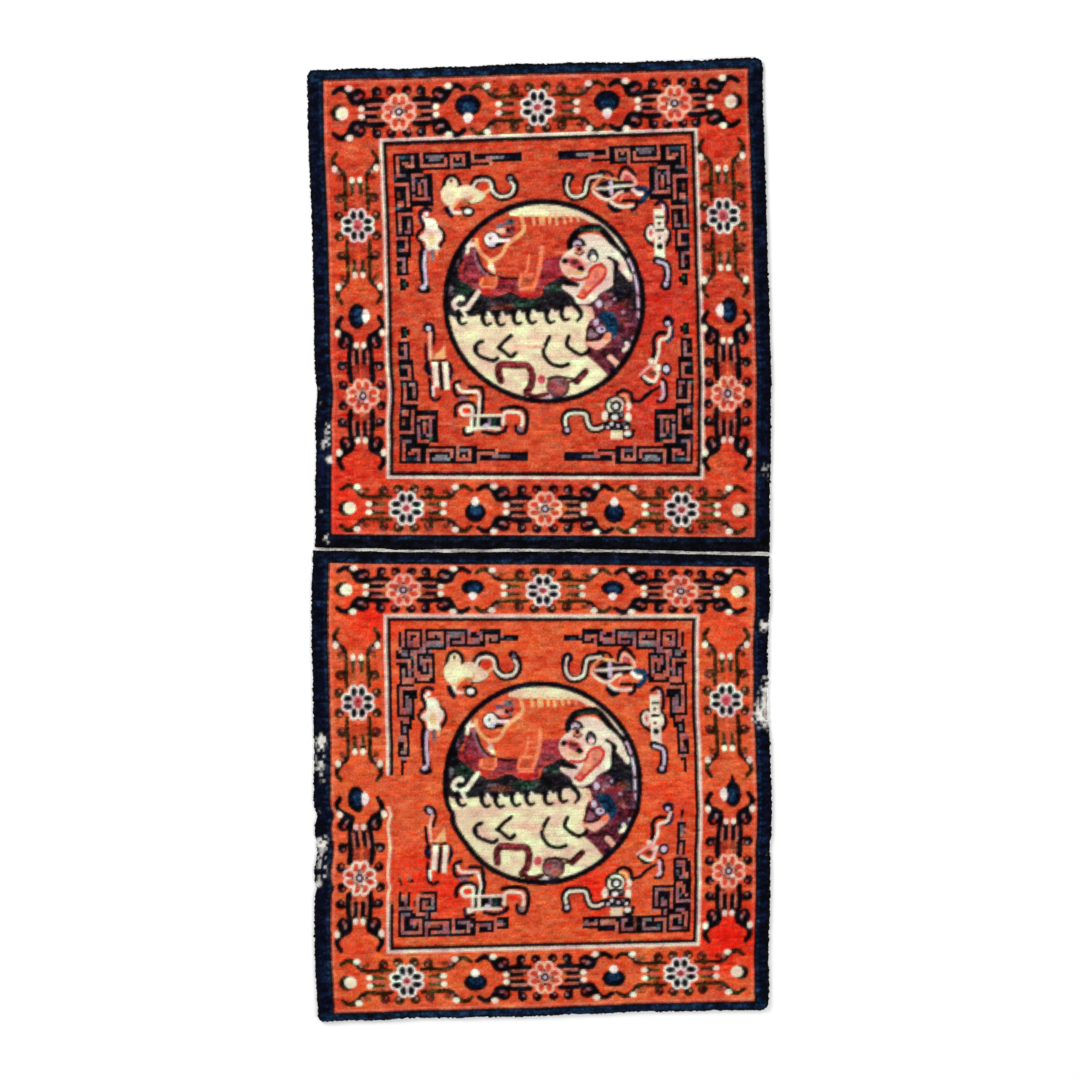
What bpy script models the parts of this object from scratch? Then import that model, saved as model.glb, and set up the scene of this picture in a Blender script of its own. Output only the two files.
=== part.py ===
"""Double seat rug, lying flat: two squares of knotted wool pile woven in one length.

Metres, +Z up. The underside lies on z = 0, the length runs along Y and the width along X, and the
origin is under the middle of the rug's outline. The rug is one solid: its pile stands about 5 mm
above the flat weave, which lies bare in the narrow band between the squares and where it is worn.
"""

from bisect import bisect
from collections import namedtuple
from math import exp, sin, sqrt

import bmesh
import bpy

# Heights above the floor
PILE_TOP = 0.0080
WEAVE_TOP = 0.0030
EDGE_TOP = 0.0032
PILE_UNEVEN = 0.0004

# The pile's rounded shoulder along the edges, the corners, and the flat underside's setback
SHOULDER = 0.0090
CORNER_RADIUS = 0.0120
UNDERSIDE_SETBACK = 0.0008

# The bare band between the squares: its middle, its half width, its drift, and the pile's shoulder there
BAND_ALONG = -0.0163
BAND_HALF_WIDTH = 0.0030
BAND_WANDER = 0.0012
BAND_SHOULDER = 0.0040

# Evenly spaced steps of the surface, and the closer ones in from each edge and out from the band
STEPS_ACROSS = 40
STEPS_ALONG = 66
EDGE_STEPS = (0.0, 0.0012, 0.0040, 0.0090, 0.0180)
BAND_STEPS = (0.0015, 0.0042, 0.0060, 0.0085)

# How much the hand-woven sides and ends wander, and how far in from the ends that reaches
SIDE_WANDER = 0.0005
END_WANDER = 0.0015
END_REACH = 0.0200

# The outline, from the foot to the head: the height along the middle, the two side edges there, and
# how much higher the weave's row lies at the right edge than at the left one
Station = namedtuple("Station", "along left right rise")
STATIONS = (
    Station(-0.6890, -0.3207, 0.3326, 0.0186),
    Station(-0.6674, -0.3217, 0.3326, 0.0205),
    Station(-0.6094, -0.3252, 0.3316, 0.0175),
    Station(-0.5514, -0.3268, 0.3341, 0.0157),
    Station(-0.4934, -0.3258, 0.3345, 0.0135),
    Station(-0.3770, -0.3268, 0.3364, 0.0092),
    Station(-0.2759, -0.3276, 0.3332, 0.0055),
    Station(-0.1599, -0.3298, 0.3306, 0.0015),
    Station(-0.1019, -0.3308, 0.3335, -0.0010),
    Station(-0.0236, -0.3284, 0.3328, -0.0065),
    Station(-0.0105, -0.3255, 0.3333, -0.0050),
    Station(0.1011, -0.3248, 0.3353, -0.0015),
    Station(0.2316, -0.3255, 0.3355, 0.0055),
    Station(0.3476, -0.3274, 0.3327, 0.0115),
    Station(0.4926, -0.3306, 0.3285, 0.0190),
    Station(0.5724, -0.3345, 0.3254, 0.0235),
    Station(0.6231, -0.3356, 0.3235, 0.0205),
    Station(0.6890, -0.3374, 0.3233, 0.0180),
)

# Worn places: the middle, the reach each way, how far the pile is down, and the bite out of the edge
Worn = namedtuple("Worn", "across along reach_across reach_along lost bite")
WORN_PLACES = (
    Worn(0.3230, -0.2390, 0.0150, 0.0300, 1.0, 0.0012),
    Worn(0.3290, -0.1270, 0.0080, 0.0150, 0.9, 0.0008),
    Worn(0.3300, -0.4520, 0.0050, 0.0150, 0.6, 0.0012),
    Worn(0.3270, 0.0960, 0.0100, 0.0260, 0.6, 0.0006),
    Worn(-0.3180, 0.2110, 0.0080, 0.0280, 0.5, 0.0034),
    Worn(-0.3130, 0.1320, 0.0100, 0.0260, 0.6, 0.0008),
    Worn(-0.3120, 0.0100, 0.0110, 0.0120, 0.6, 0.0004),
    Worn(-0.3200, -0.3020, 0.0080, 0.0250, 0.8, 0.0006),
    Worn(-0.3200, -0.3950, 0.0070, 0.0090, 0.7, 0.0052),
    Worn(-0.3150, -0.4430, 0.0110, 0.0210, 0.9, 0.0040),
    Worn(-0.3200, -0.4980, 0.0070, 0.0070, 0.7, 0.0034),
)

LENGTH = STATIONS[-1].along - STATIONS[0].along
WIDTH = STATIONS[-1].right - STATIONS[-1].left


def station_at(along):
    """The outline's row at a height along the middle, straight between the two stations around it."""
    upper = bisect([station.along for station in STATIONS], along)
    upper = min(max(upper, 1), len(STATIONS) - 1)
    before, after = STATIONS[upper - 1], STATIONS[upper]
    share = (along - before.along) / (after.along - before.along)
    return Station(*(a + share * (b - a) for a, b in zip(before, after)))


def bell(distance, reach):
    """1 at no distance, falling off smoothly over the reach."""
    return exp(-((distance / reach) ** 2))


def worn_share(across, along):
    """How much of the pile is gone at a point: the worn places added up, at most all of it."""
    return min(
        1,
        sum(
            spot.lost
            * bell(across - spot.across, spot.reach_across)
            * bell(along - spot.along, spot.reach_along)
            for spot in WORN_PLACES
        ),
    )


def side_bite(along, side):
    """How far the worn places have eaten into one side edge (-1 left, 1 right)."""
    return sum(
        spot.bite * bell(along - spot.along, spot.reach_along)
        for spot in WORN_PLACES
        if spot.across * side > 0
    )


def wander(place, amount, turn):
    """A hand-woven edge's slow and quick drift, as two waves of uneven length."""
    return amount * (0.6 * sin(place / 0.052 + turn) + 0.4 * sin(place / 0.0172 + 2.3 * turn))


def round_corner(u, v):
    """Moves a point near a corner so that the square corner becomes a quarter circle.

    Inside the corner block of one radius, (x, y) in 0 to 1 goes to (x sqrt(1 - y^2 / 2),
    y sqrt(1 - x^2 / 2)), which takes the square block to a quarter disc and leaves its inner sides.
    """
    reach_u, reach_v = CORNER_RADIUS / WIDTH, CORNER_RADIUS / LENGTH
    x = max(reach_u - min(u, 1 - u), 0) / reach_u
    y = max(reach_v - min(v, 1 - v), 0) / reach_v
    inward_u = reach_u * x * (1 - sqrt(1 - y * y / 2))
    inward_v = reach_v * y * (1 - sqrt(1 - x * x / 2))
    return (u + inward_u if u < 0.5 else u - inward_u), (v + inward_v if v < 0.5 else v - inward_v)


def plan(u, v):
    """The floor point under the surface at u across (0 to 1) and v along (0 foot to 1 head)."""
    u, v = round_corner(u, v)
    along = STATIONS[0].along + v * LENGTH
    here = station_at(along)
    left = here.left + side_bite(along, -1) + wander(along, SIDE_WANDER, 0.4)
    right = here.right - side_bite(along, 1) + wander(along, SIDE_WANDER, 2.9)
    across = left + u * (right - left)
    near_end = exp(-min(v, 1 - v) * LENGTH / END_REACH)
    ragged = near_end * wander(across, END_WANDER, 1.7 if v > 0.5 else 5.1)
    return across, along + here.rise * (u - 0.5) + ragged


def shoulder(distance, reach):
    """0 at the edge to 1 a reach inside it, as a quarter circle."""
    share = min(max(distance / reach, 0), 1)
    return sqrt(1 - (1 - share) ** 2)


def band_line(across):
    """Where the bare band's middle lies along the length, before the weave's rise."""
    return BAND_ALONG + BAND_WANDER * sin(across / 0.078 + 1.0)


def surface(u, v):
    """The height of the pile, or of the bare weave, over plan(u, v)."""
    across, along = plan(u, v)
    from_edge = min(min(u, 1 - u) * WIDTH, min(v, 1 - v) * LENGTH)
    if from_edge <= 0:
        return EDGE_TOP
    from_band = abs(STATIONS[0].along + v * LENGTH - band_line(across)) - BAND_HALF_WIDTH
    slow_lumps = sin(across / 0.045 + 1.1) * sin(along / 0.061)
    quick_lumps = sin(across / 0.019) * sin(along / 0.027 + 2.0)
    pile = PILE_TOP - WEAVE_TOP + PILE_UNEVEN * (slow_lumps + quick_lumps)
    standing = 1 - worn_share(across, along)
    return WEAVE_TOP + pile * standing * shoulder(from_band, BAND_SHOULDER) * shoulder(from_edge, SHOULDER)


def places(count, length, extra=()):
    """Shares 0 to 1 along a side: the edge's close steps at both ends, the extra ones, and even steps
    between them that keep clear of those."""
    close = [step / length for step in EDGE_STEPS]
    shares = close + [1 - share for share in close] + list(extra)
    room = 0.4 / count
    even = [i / count for i in range(1, count)]
    shares += [share for share in even if all(abs(share - taken) > room for taken in shares)]
    return sorted(shares)


def lay_grid(shape):
    """The pile side: a grid whose points are placed on the outline and raised to the surface."""
    middle = (BAND_ALONG - STATIONS[0].along) / LENGTH
    band_shares = [middle] + [middle + side * step / LENGTH for step in BAND_STEPS for side in (-1, 1)]
    columns = places(STEPS_ACROSS, WIDTH)
    rows = places(STEPS_ALONG, LENGTH, band_shares)
    last_column, last_row = len(columns) - 1, len(rows) - 1
    bmesh.ops.create_grid(shape, x_segments=last_column, y_segments=last_row, size=0.5)
    for vertex in shape.verts:
        u = columns[round((vertex.co.x + 0.5) * last_column)]
        v = rows[round((vertex.co.y + 0.5) * last_row)]
        vertex.co = (*plan(u, v), surface(u, v))


def close_underneath(shape):
    """The rim, drawn down to the floor and a little in, and the flat underside that fills it."""
    edge = [e for e in shape.edges if e.is_boundary]
    drawn = bmesh.ops.extrude_edge_only(shape, edges=edge)["geom"]
    narrow = 1 - UNDERSIDE_SETBACK / (WIDTH / 2)
    shorten = 1 - UNDERSIDE_SETBACK / (LENGTH / 2)
    for vertex in (item for item in drawn if isinstance(item, bmesh.types.BMVert)):
        vertex.co = (vertex.co.x * narrow, vertex.co.y * shorten, 0.0)
    bmesh.ops.holes_fill(shape, edges=[e for e in shape.edges if e.is_boundary])
    bmesh.ops.triangulate(shape, faces=[f for f in shape.faces if len(f.verts) > 4])
    bmesh.ops.recalc_face_normals(shape, faces=shape.faces)


def build_rug():
    """The whole rug, one closed slab."""
    shape = bmesh.new()
    lay_grid(shape)
    close_underneath(shape)
    mesh = bpy.data.meshes.new("rug")
    shape.to_mesh(mesh)
    shape.free()
    mesh.shade_smooth()
    mesh.materials.append(wool())
    rug = bpy.data.objects.new("rug", mesh)
    bpy.context.collection.objects.link(rug)


def wool():
    """Madder-orange wool pile, dull and dense."""
    material = bpy.data.materials.new("wool pile")
    material.use_nodes = True
    principled = material.node_tree.nodes["Principled BSDF"]
    principled.inputs["Base Color"].default_value = (0.71, 0.09, 0.03, 1.0)
    principled.inputs["Roughness"].default_value = 0.95
    principled.inputs["Metallic"].default_value = 0.0
    return material


for old in list(bpy.data.objects):
    bpy.data.objects.remove(old)

build_rug()
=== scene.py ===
import bpy
import numpy as np
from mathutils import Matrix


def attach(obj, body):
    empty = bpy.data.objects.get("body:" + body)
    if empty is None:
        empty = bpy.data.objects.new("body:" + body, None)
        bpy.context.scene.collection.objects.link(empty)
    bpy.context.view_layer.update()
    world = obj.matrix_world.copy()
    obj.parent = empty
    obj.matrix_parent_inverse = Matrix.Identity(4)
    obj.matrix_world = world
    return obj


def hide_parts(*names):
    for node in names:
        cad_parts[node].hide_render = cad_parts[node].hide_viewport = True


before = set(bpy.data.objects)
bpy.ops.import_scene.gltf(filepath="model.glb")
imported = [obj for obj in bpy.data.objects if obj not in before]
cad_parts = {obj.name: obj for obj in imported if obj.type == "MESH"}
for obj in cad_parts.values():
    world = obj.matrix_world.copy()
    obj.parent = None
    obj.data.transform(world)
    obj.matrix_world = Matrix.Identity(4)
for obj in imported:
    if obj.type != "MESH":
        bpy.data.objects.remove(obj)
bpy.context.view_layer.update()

# ---- Cotton ground ----
# The warp and weft that carry the knots: undyed cotton, woven flat and about 3 mm thick. It lies bare in
# the narrow band between the two squares and where the pile is worn through. The squares were woven one
# after the other on the same warp, and its underside shows the backs of their knots.

# The outline from the foot to the head: along the middle, the left and right edges there, and how much
# higher the weave's row lies at the right edge than at the left one
STATIONS = np.array((
    (-0.6890, -0.3207, 0.3326, 0.0186),
    (-0.6674, -0.3217, 0.3326, 0.0205),
    (-0.6094, -0.3252, 0.3316, 0.0175),
    (-0.5514, -0.3268, 0.3341, 0.0157),
    (-0.4934, -0.3258, 0.3345, 0.0135),
    (-0.3770, -0.3268, 0.3364, 0.0092),
    (-0.2759, -0.3276, 0.3332, 0.0055),
    (-0.1599, -0.3298, 0.3306, 0.0015),
    (-0.1019, -0.3308, 0.3335, -0.0010),
    (-0.0236, -0.3284, 0.3328, -0.0065),
    (-0.0105, -0.3255, 0.3333, -0.0050),
    (0.1011, -0.3248, 0.3353, -0.0015),
    (0.2316, -0.3255, 0.3355, 0.0055),
    (0.3476, -0.3274, 0.3327, 0.0115),
    (0.4926, -0.3306, 0.3285, 0.0190),
    (0.5724, -0.3345, 0.3254, 0.0235),
    (0.6231, -0.3356, 0.3235, 0.0205),
    (0.6890, -0.3374, 0.3233, 0.0180),
))
# Worn places: the middle across and along, the reach each way, how far the pile is down, and the bite
# that the wear has taken out of the edge
WORN_PLACES = (
    (0.3300, -0.2534, 0.0270, 0.0220, 1.0, 0.0010),
    (0.3330, -0.2207, 0.0150, 0.0165, 1.0, 0.0008),
    (0.3280, -0.1960, 0.0090, 0.0090, 0.50, 0.0),
    (0.3255, -0.1236, 0.0100, 0.0170, 0.68, 0.0008),
    (0.3300, -0.4520, 0.0050, 0.0150, 0.50, 0.0012),
    (0.3270, 0.0960, 0.0100, 0.0260, 0.50, 0.0006),
    (-0.3180, 0.2110, 0.0080, 0.0280, 0.40, 0.0034),
    (-0.3038, 0.1664, 0.0070, 0.0120, 0.62, 0.0),
    (-0.3110, 0.1432, 0.0115, 0.0160, 0.62, 0.0008),
    (-0.3038, 0.1164, 0.0065, 0.0085, 0.75, 0.0),
    (-0.3158, 0.0402, 0.0045, 0.0045, 0.60, 0.0),
    (-0.3089, 0.0018, 0.0075, 0.0095, 0.70, 0.0004),
    (-0.3168, -0.2918, 0.0075, 0.0090, 0.75, 0.0006),
    (-0.3168, -0.3252, 0.0110, 0.0480, 0.56, 0.0),
    (-0.3200, -0.3950, 0.0070, 0.0090, 0.40, 0.0052),
    (-0.3150, -0.4430, 0.0110, 0.0210, 0.80, 0.0040),
    (-0.3140, -0.4818, 0.0110, 0.0230, 0.52, 0.0),
    (-0.3200, -0.4980, 0.0070, 0.0070, 0.50, 0.0034),
)
FOOT, HEAD = STATIONS[0, 0], STATIONS[-1, 0]
LENGTH = HEAD - FOOT
WIDTH = STATIONS[-1, 2] - STATIONS[-1, 1]
CORNER_RADIUS = 0.0120
# How far the sides and the ends drift, how deep into the rug an end's drift reaches, how long the drift's
# two waves are, and where on them each edge starts
SIDE_WANDER, END_WANDER, END_REACH = 0.0005, 0.0015, 0.0200
SLOW_WAVE, QUICK_WAVE = 0.052, 0.0172
LEFT_TURN, RIGHT_TURN, HEAD_TURN, FOOT_TURN = 0.4, 2.9, 1.7, 5.1
BAND_ALONG, BAND_HALF_WIDTH = -0.0163, 0.0030
BAND_WANDER, BAND_WAVE = 0.0012, 0.078
BAND_PULL = 0.030       # how far from the band its drift still bends the rows
WEAVE_TOP = 0.0030
WEAVE_UNEVEN = 0.00015  # how far the weave's threads stand up or down on top
UNDER_UNEVEN = 0.0003   # how far the hollows between the knots' backs stand off the floor
COLUMNS = 152           # knots across
UPPER_ROWS = 160        # rows of knots in the square at the head
LOWER_ROWS = 153        # rows of knots in the square at the foot
BAND_ROWS = 4
COTTON_SETBACK = 0.0012  # the pile spreads this far over the weave's edge
CREASE = np.radians(65)  # a sharper edge than this isn't smoothed
COTTON_IVORY = (0.80, 0.77, 0.72)
COTTON_SOILED = (0.25, 0.22, 0.21)

chance = np.random.default_rng(1925)


def bell(distance, reach):
    """1 at no distance, falling off smoothly over the reach: e to minus the square of their ratio."""
    return np.exp(-((distance / reach) ** 2))


def wander(place, amount, turn):
    """A hand-woven edge's drift: 0.6 of the amount as a slow sine along it, and 0.4 as a quick one."""
    return amount * (0.6 * np.sin(place / SLOW_WAVE + turn) + 0.4 * np.sin(place / QUICK_WAVE + 2.3 * turn))


def side_bite(along, side):
    """How far wear has eaten into one side edge (-1 left, 1 right): the places' bells, added up."""
    return sum(bite * bell(along - y, reach) for x, y, _, reach, _, bite in WORN_PLACES if x * side > 0)


def worn_share(across, along):
    """How much of the pile is gone: each place's two bells multiplied, all added up, at most 1."""
    lost = sum(
        share * bell(across - x, reach_x) * bell(along - y, reach_y)
        for x, y, reach_x, reach_y, share, _ in WORN_PLACES
    )
    return np.minimum(lost, 1)


def round_corner(u, v):
    """Turns the square corners into quarter circles: within one radius of a corner, x and y from 0 to 1
    become x sqrt(1 - y^2 / 2) and y sqrt(1 - x^2 / 2)."""
    reach_u, reach_v = CORNER_RADIUS / WIDTH, CORNER_RADIUS / LENGTH
    x = np.maximum(reach_u - np.minimum(u, 1 - u), 0) / reach_u
    y = np.maximum(reach_v - np.minimum(v, 1 - v), 0) / reach_v
    inward_u = reach_u * x * (1 - np.sqrt(1 - y * y / 2))
    inward_v = reach_v * y * (1 - np.sqrt(1 - x * x / 2))
    return np.where(u < 0.5, u + inward_u, u - inward_u), np.where(v < 0.5, v + inward_v, v - inward_v)


def plan(u, v):
    """Where the floor point at u across and v along (0 foot, 1 head) lies.

    The edges there are read between the stations, less the bites and with the drift; the point is u of
    the way between them, and the row's rise and, near an end, its raggedness lift it along.
    """
    u, v = round_corner(u, v)
    along = FOOT + v * LENGTH
    left, right, rise = (np.interp(along, STATIONS[:, 0], STATIONS[:, k]) for k in (1, 2, 3))
    left = left + side_bite(along, -1) + wander(along, SIDE_WANDER, LEFT_TURN)
    right = right - side_bite(along, 1) + wander(along, SIDE_WANDER, RIGHT_TURN)
    across = left + u * (right - left)
    near_end = np.exp(-np.minimum(v, 1 - v) * LENGTH / END_REACH)
    ragged = wander(across, END_WANDER, np.where(v > 0.5, HEAD_TURN, FOOT_TURN))
    return across, along + rise * (u - 0.5) + near_end * ragged


def band_line(across):
    """Where the bare band's middle lies along the length, a slow wave, before the row's rise."""
    return BAND_ALONG + BAND_WANDER * np.sin(across / BAND_WAVE + 1.0)


def pulled_rows(u, along):
    """The rows beside the band follow its drift, fully at the band and not at all BAND_PULL from it."""
    across = STATIONS[-1, 1] + u * WIDTH
    near = np.clip(1 - (np.abs(along - BAND_ALONG) - BAND_HALF_WIDTH) / BAND_PULL, 0, 1)
    return along + near * (band_line(across) - BAND_ALONG)


def put_mesh(name, points, faces, corner_dyes, corner_places):
    """A mesh object from points, faces as a list of index arrays, and a colour and a map place for each
    face corner in the faces' order."""
    mesh = bpy.data.meshes.new(name)
    sizes = np.concatenate([np.full(len(block), block.shape[1]) for block in faces])
    corners = np.concatenate([block.ravel() for block in faces])
    mesh.vertices.add(len(points))
    mesh.vertices.foreach_set("co", points.ravel().astype(np.float32))
    mesh.loops.add(len(corners))
    mesh.loops.foreach_set("vertex_index", corners.astype(np.int32))
    mesh.polygons.add(len(sizes))
    mesh.polygons.foreach_set("loop_start", (np.cumsum(sizes) - sizes).astype(np.int32))
    mesh.update(calc_edges=True)
    dye = mesh.color_attributes.new("dye", "FLOAT_COLOR", "CORNER")
    dye.data.foreach_set("color", np.c_[corner_dyes, np.ones(len(corner_dyes))].ravel().astype(np.float32))
    places = mesh.uv_layers.new(name="OFBake")
    places.uv.foreach_set("vector", corner_places.ravel().astype(np.float32))
    mesh.shade_smooth()
    mesh.set_sharp_from_angle(angle=CREASE)
    piece = bpy.data.objects.new(name, mesh)
    bpy.context.collection.objects.link(piece)
    return piece


def grid_faces(rows, columns, first=0):
    """The quads of a grid of points, counted row by row, each turning left."""
    corner = first + np.arange(rows - 1)[:, None] * columns + np.arange(columns - 1)
    return np.stack([corner, corner + 1, corner + columns + 1, corner + columns], -1).reshape(-1, 4)


def weave_rows():
    """The rows' places along the middle: evenly through each square and the bare band between."""
    lower = np.linspace(FOOT, BAND_ALONG - BAND_HALF_WIDTH, LOWER_ROWS + 1)
    band = np.linspace(lower[-1], BAND_ALONG + BAND_HALF_WIDTH, BAND_ROWS + 1)
    upper = np.linspace(band[-1], HEAD, UPPER_ROWS + 1)
    return np.concatenate([lower, band[1:-1], upper])


def weave_ground():
    """The closed sheet: two grids over the plan, one at the weave's top and one on the floor, whose points
    stand a little uneven, joined by a rim round the outline."""
    along = weave_rows()[:, None]
    u = np.linspace(0, 1, COLUMNS + 1)[None, :]
    across, up = plan(u, (pulled_rows(u, along) - FOOT) / LENGTH)
    middle = (STATIONS[:, 1].mean() + STATIONS[:, 2].mean()) / 2
    across = middle + (across - middle) * (1 - 2 * COTTON_SETBACK / WIDTH)
    up = up * (1 - 2 * COTTON_SETBACK / LENGTH)
    rows, columns = across.shape
    top = np.stack([across, up, WEAVE_TOP + chance.uniform(-WEAVE_UNEVEN, WEAVE_UNEVEN, across.shape)], -1)
    under = np.stack([across, up, chance.uniform(0, UNDER_UNEVEN, across.shape)], -1)
    points = np.concatenate([top.reshape(-1, 3), under.reshape(-1, 3)])
    number = np.arange(rows * columns).reshape(rows, columns)
    round_it = np.concatenate([number[0, :-1], number[:-1, -1], number[-1, :0:-1], number[:0:-1, 0]])
    then = np.roll(round_it, -1)
    below = rows * columns
    rim = np.stack([then, round_it, round_it + below, then + below], -1)
    top_faces = grid_faces(rows, columns)
    under_faces = top_faces[:, ::-1] + below
    return points, [top_faces, under_faces, rim], (rows, columns)


ground_points, ground_faces, ground_shape = weave_ground()


# ---- The weaver's chart ----
# What the knots show, square by square, in knots from the square's lower left corner: traditional figures
# of a seat mat, each built up from balls, bars, bands and short curves of one dye. A chart has a cell for
# each half knot, because a knot stands as two yarn ends.

# The dyes by daylight, in red, green and blue from 0 to 255
DYES = {
    "red": (206, 68, 42), "madder": (201, 71, 44), "orange madder": (222, 90, 50), "scarlet": (230, 30, 18),
    "crimson red": (204, 52, 40), "stain": (236, 48, 30), "crimson": (132, 24, 34), "brick": (178, 62, 52),
    "coral": (236, 138, 112), "salmon": (244, 132, 92), "orange": (232, 104, 50), "clay": (204, 122, 100),
    "rose": (206, 84, 96), "rosewood": (186, 98, 82), "pink": (242, 182, 158), "peach": (238, 176, 120),
    "plum": (108, 41, 54), "wine": (158, 50, 60), "maroon": (96, 30, 34), "brown": (104, 50, 34),
    "white": (246, 236, 226), "ivory": (240, 228, 204), "bone": (236, 218, 196), "cream": (236, 217, 179),
    "blush": (240, 212, 196), "yellow": (226, 190, 112), "lilac": (214, 192, 214), "grey": (112, 102, 110),
    "mauve": (144, 96, 112), "heather": (150, 98, 104), "olive": (50, 32, 12), "moss": (50, 54, 20),
    "green": (24, 56, 40), "blue": (30, 66, 104), "slate": (40, 60, 76), "teal": (14, 50, 76),
    "steel": (16, 40, 66), "navy": (4, 10, 29), "ink": (10, 16, 24), "dark": (30, 26, 30),
    "black": (7, 6, 12),
}
DYE_SHARE = 0.84        # how dark the wool is against the same colour seen under the studio light
CELL = 0.5              # a chart cell's side, in knots
CURVE_STEPS = 6         # straight pieces to each span of a curve
MADDER_RED, MADDER_GREEN = 0.3, 0.15  # madder wool has more red than the one and less green than the other


def linear(rgb):
    """A dye as light: each share of 255, through the standard curve from screen values to light."""
    share = np.asarray(rgb, float) / 255
    return DYE_SHARE * np.where(share <= 0.04045, share / 12.92, ((share + 0.055) / 1.055) ** 2.4)


TINTS = {name: linear(rgb) for name, rgb in DYES.items()}


def curve(points, closed=False):
    """Catmull-Rom: each span between two points b and c is bent by their neighbours a and d."""
    p = np.asarray(points, float)
    if len(p) < 3:
        return p
    if closed:
        around = np.vstack([p[-1:], p, p[:2]])
    else:
        around = np.vstack([2 * p[:1] - p[1:2], p, 2 * p[-1:] - p[-2:-1]])
    t = np.arange(CURVE_STEPS)[:, None, None] / CURVE_STEPS
    a, b, c, d = around[:-3], around[1:-2], around[2:-1], around[3:]
    bent = 0.5 * (2 * b + (c - a) * t + (2 * a - 5 * b + 4 * c - d) * t**2 + (3 * b - a - 3 * c + d) * t**3)
    bent = bent.transpose(1, 0, 2).reshape(-1, p.shape[1])
    return bent if closed else np.vstack([bent, p[-1:]])


def off_spans(here, start, step):
    """For every place and every straight span: how far along the span its nearest point lies, 0 to 1, and
    the distance to it."""
    to = here[..., None, :] - start
    part = np.clip((to * step).sum(-1) / np.maximum((step**2).sum(-1), 1e-9), 0, 1)
    return part, np.hypot(*np.moveaxis(to - part[..., None] * step, -1, 0))


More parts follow.
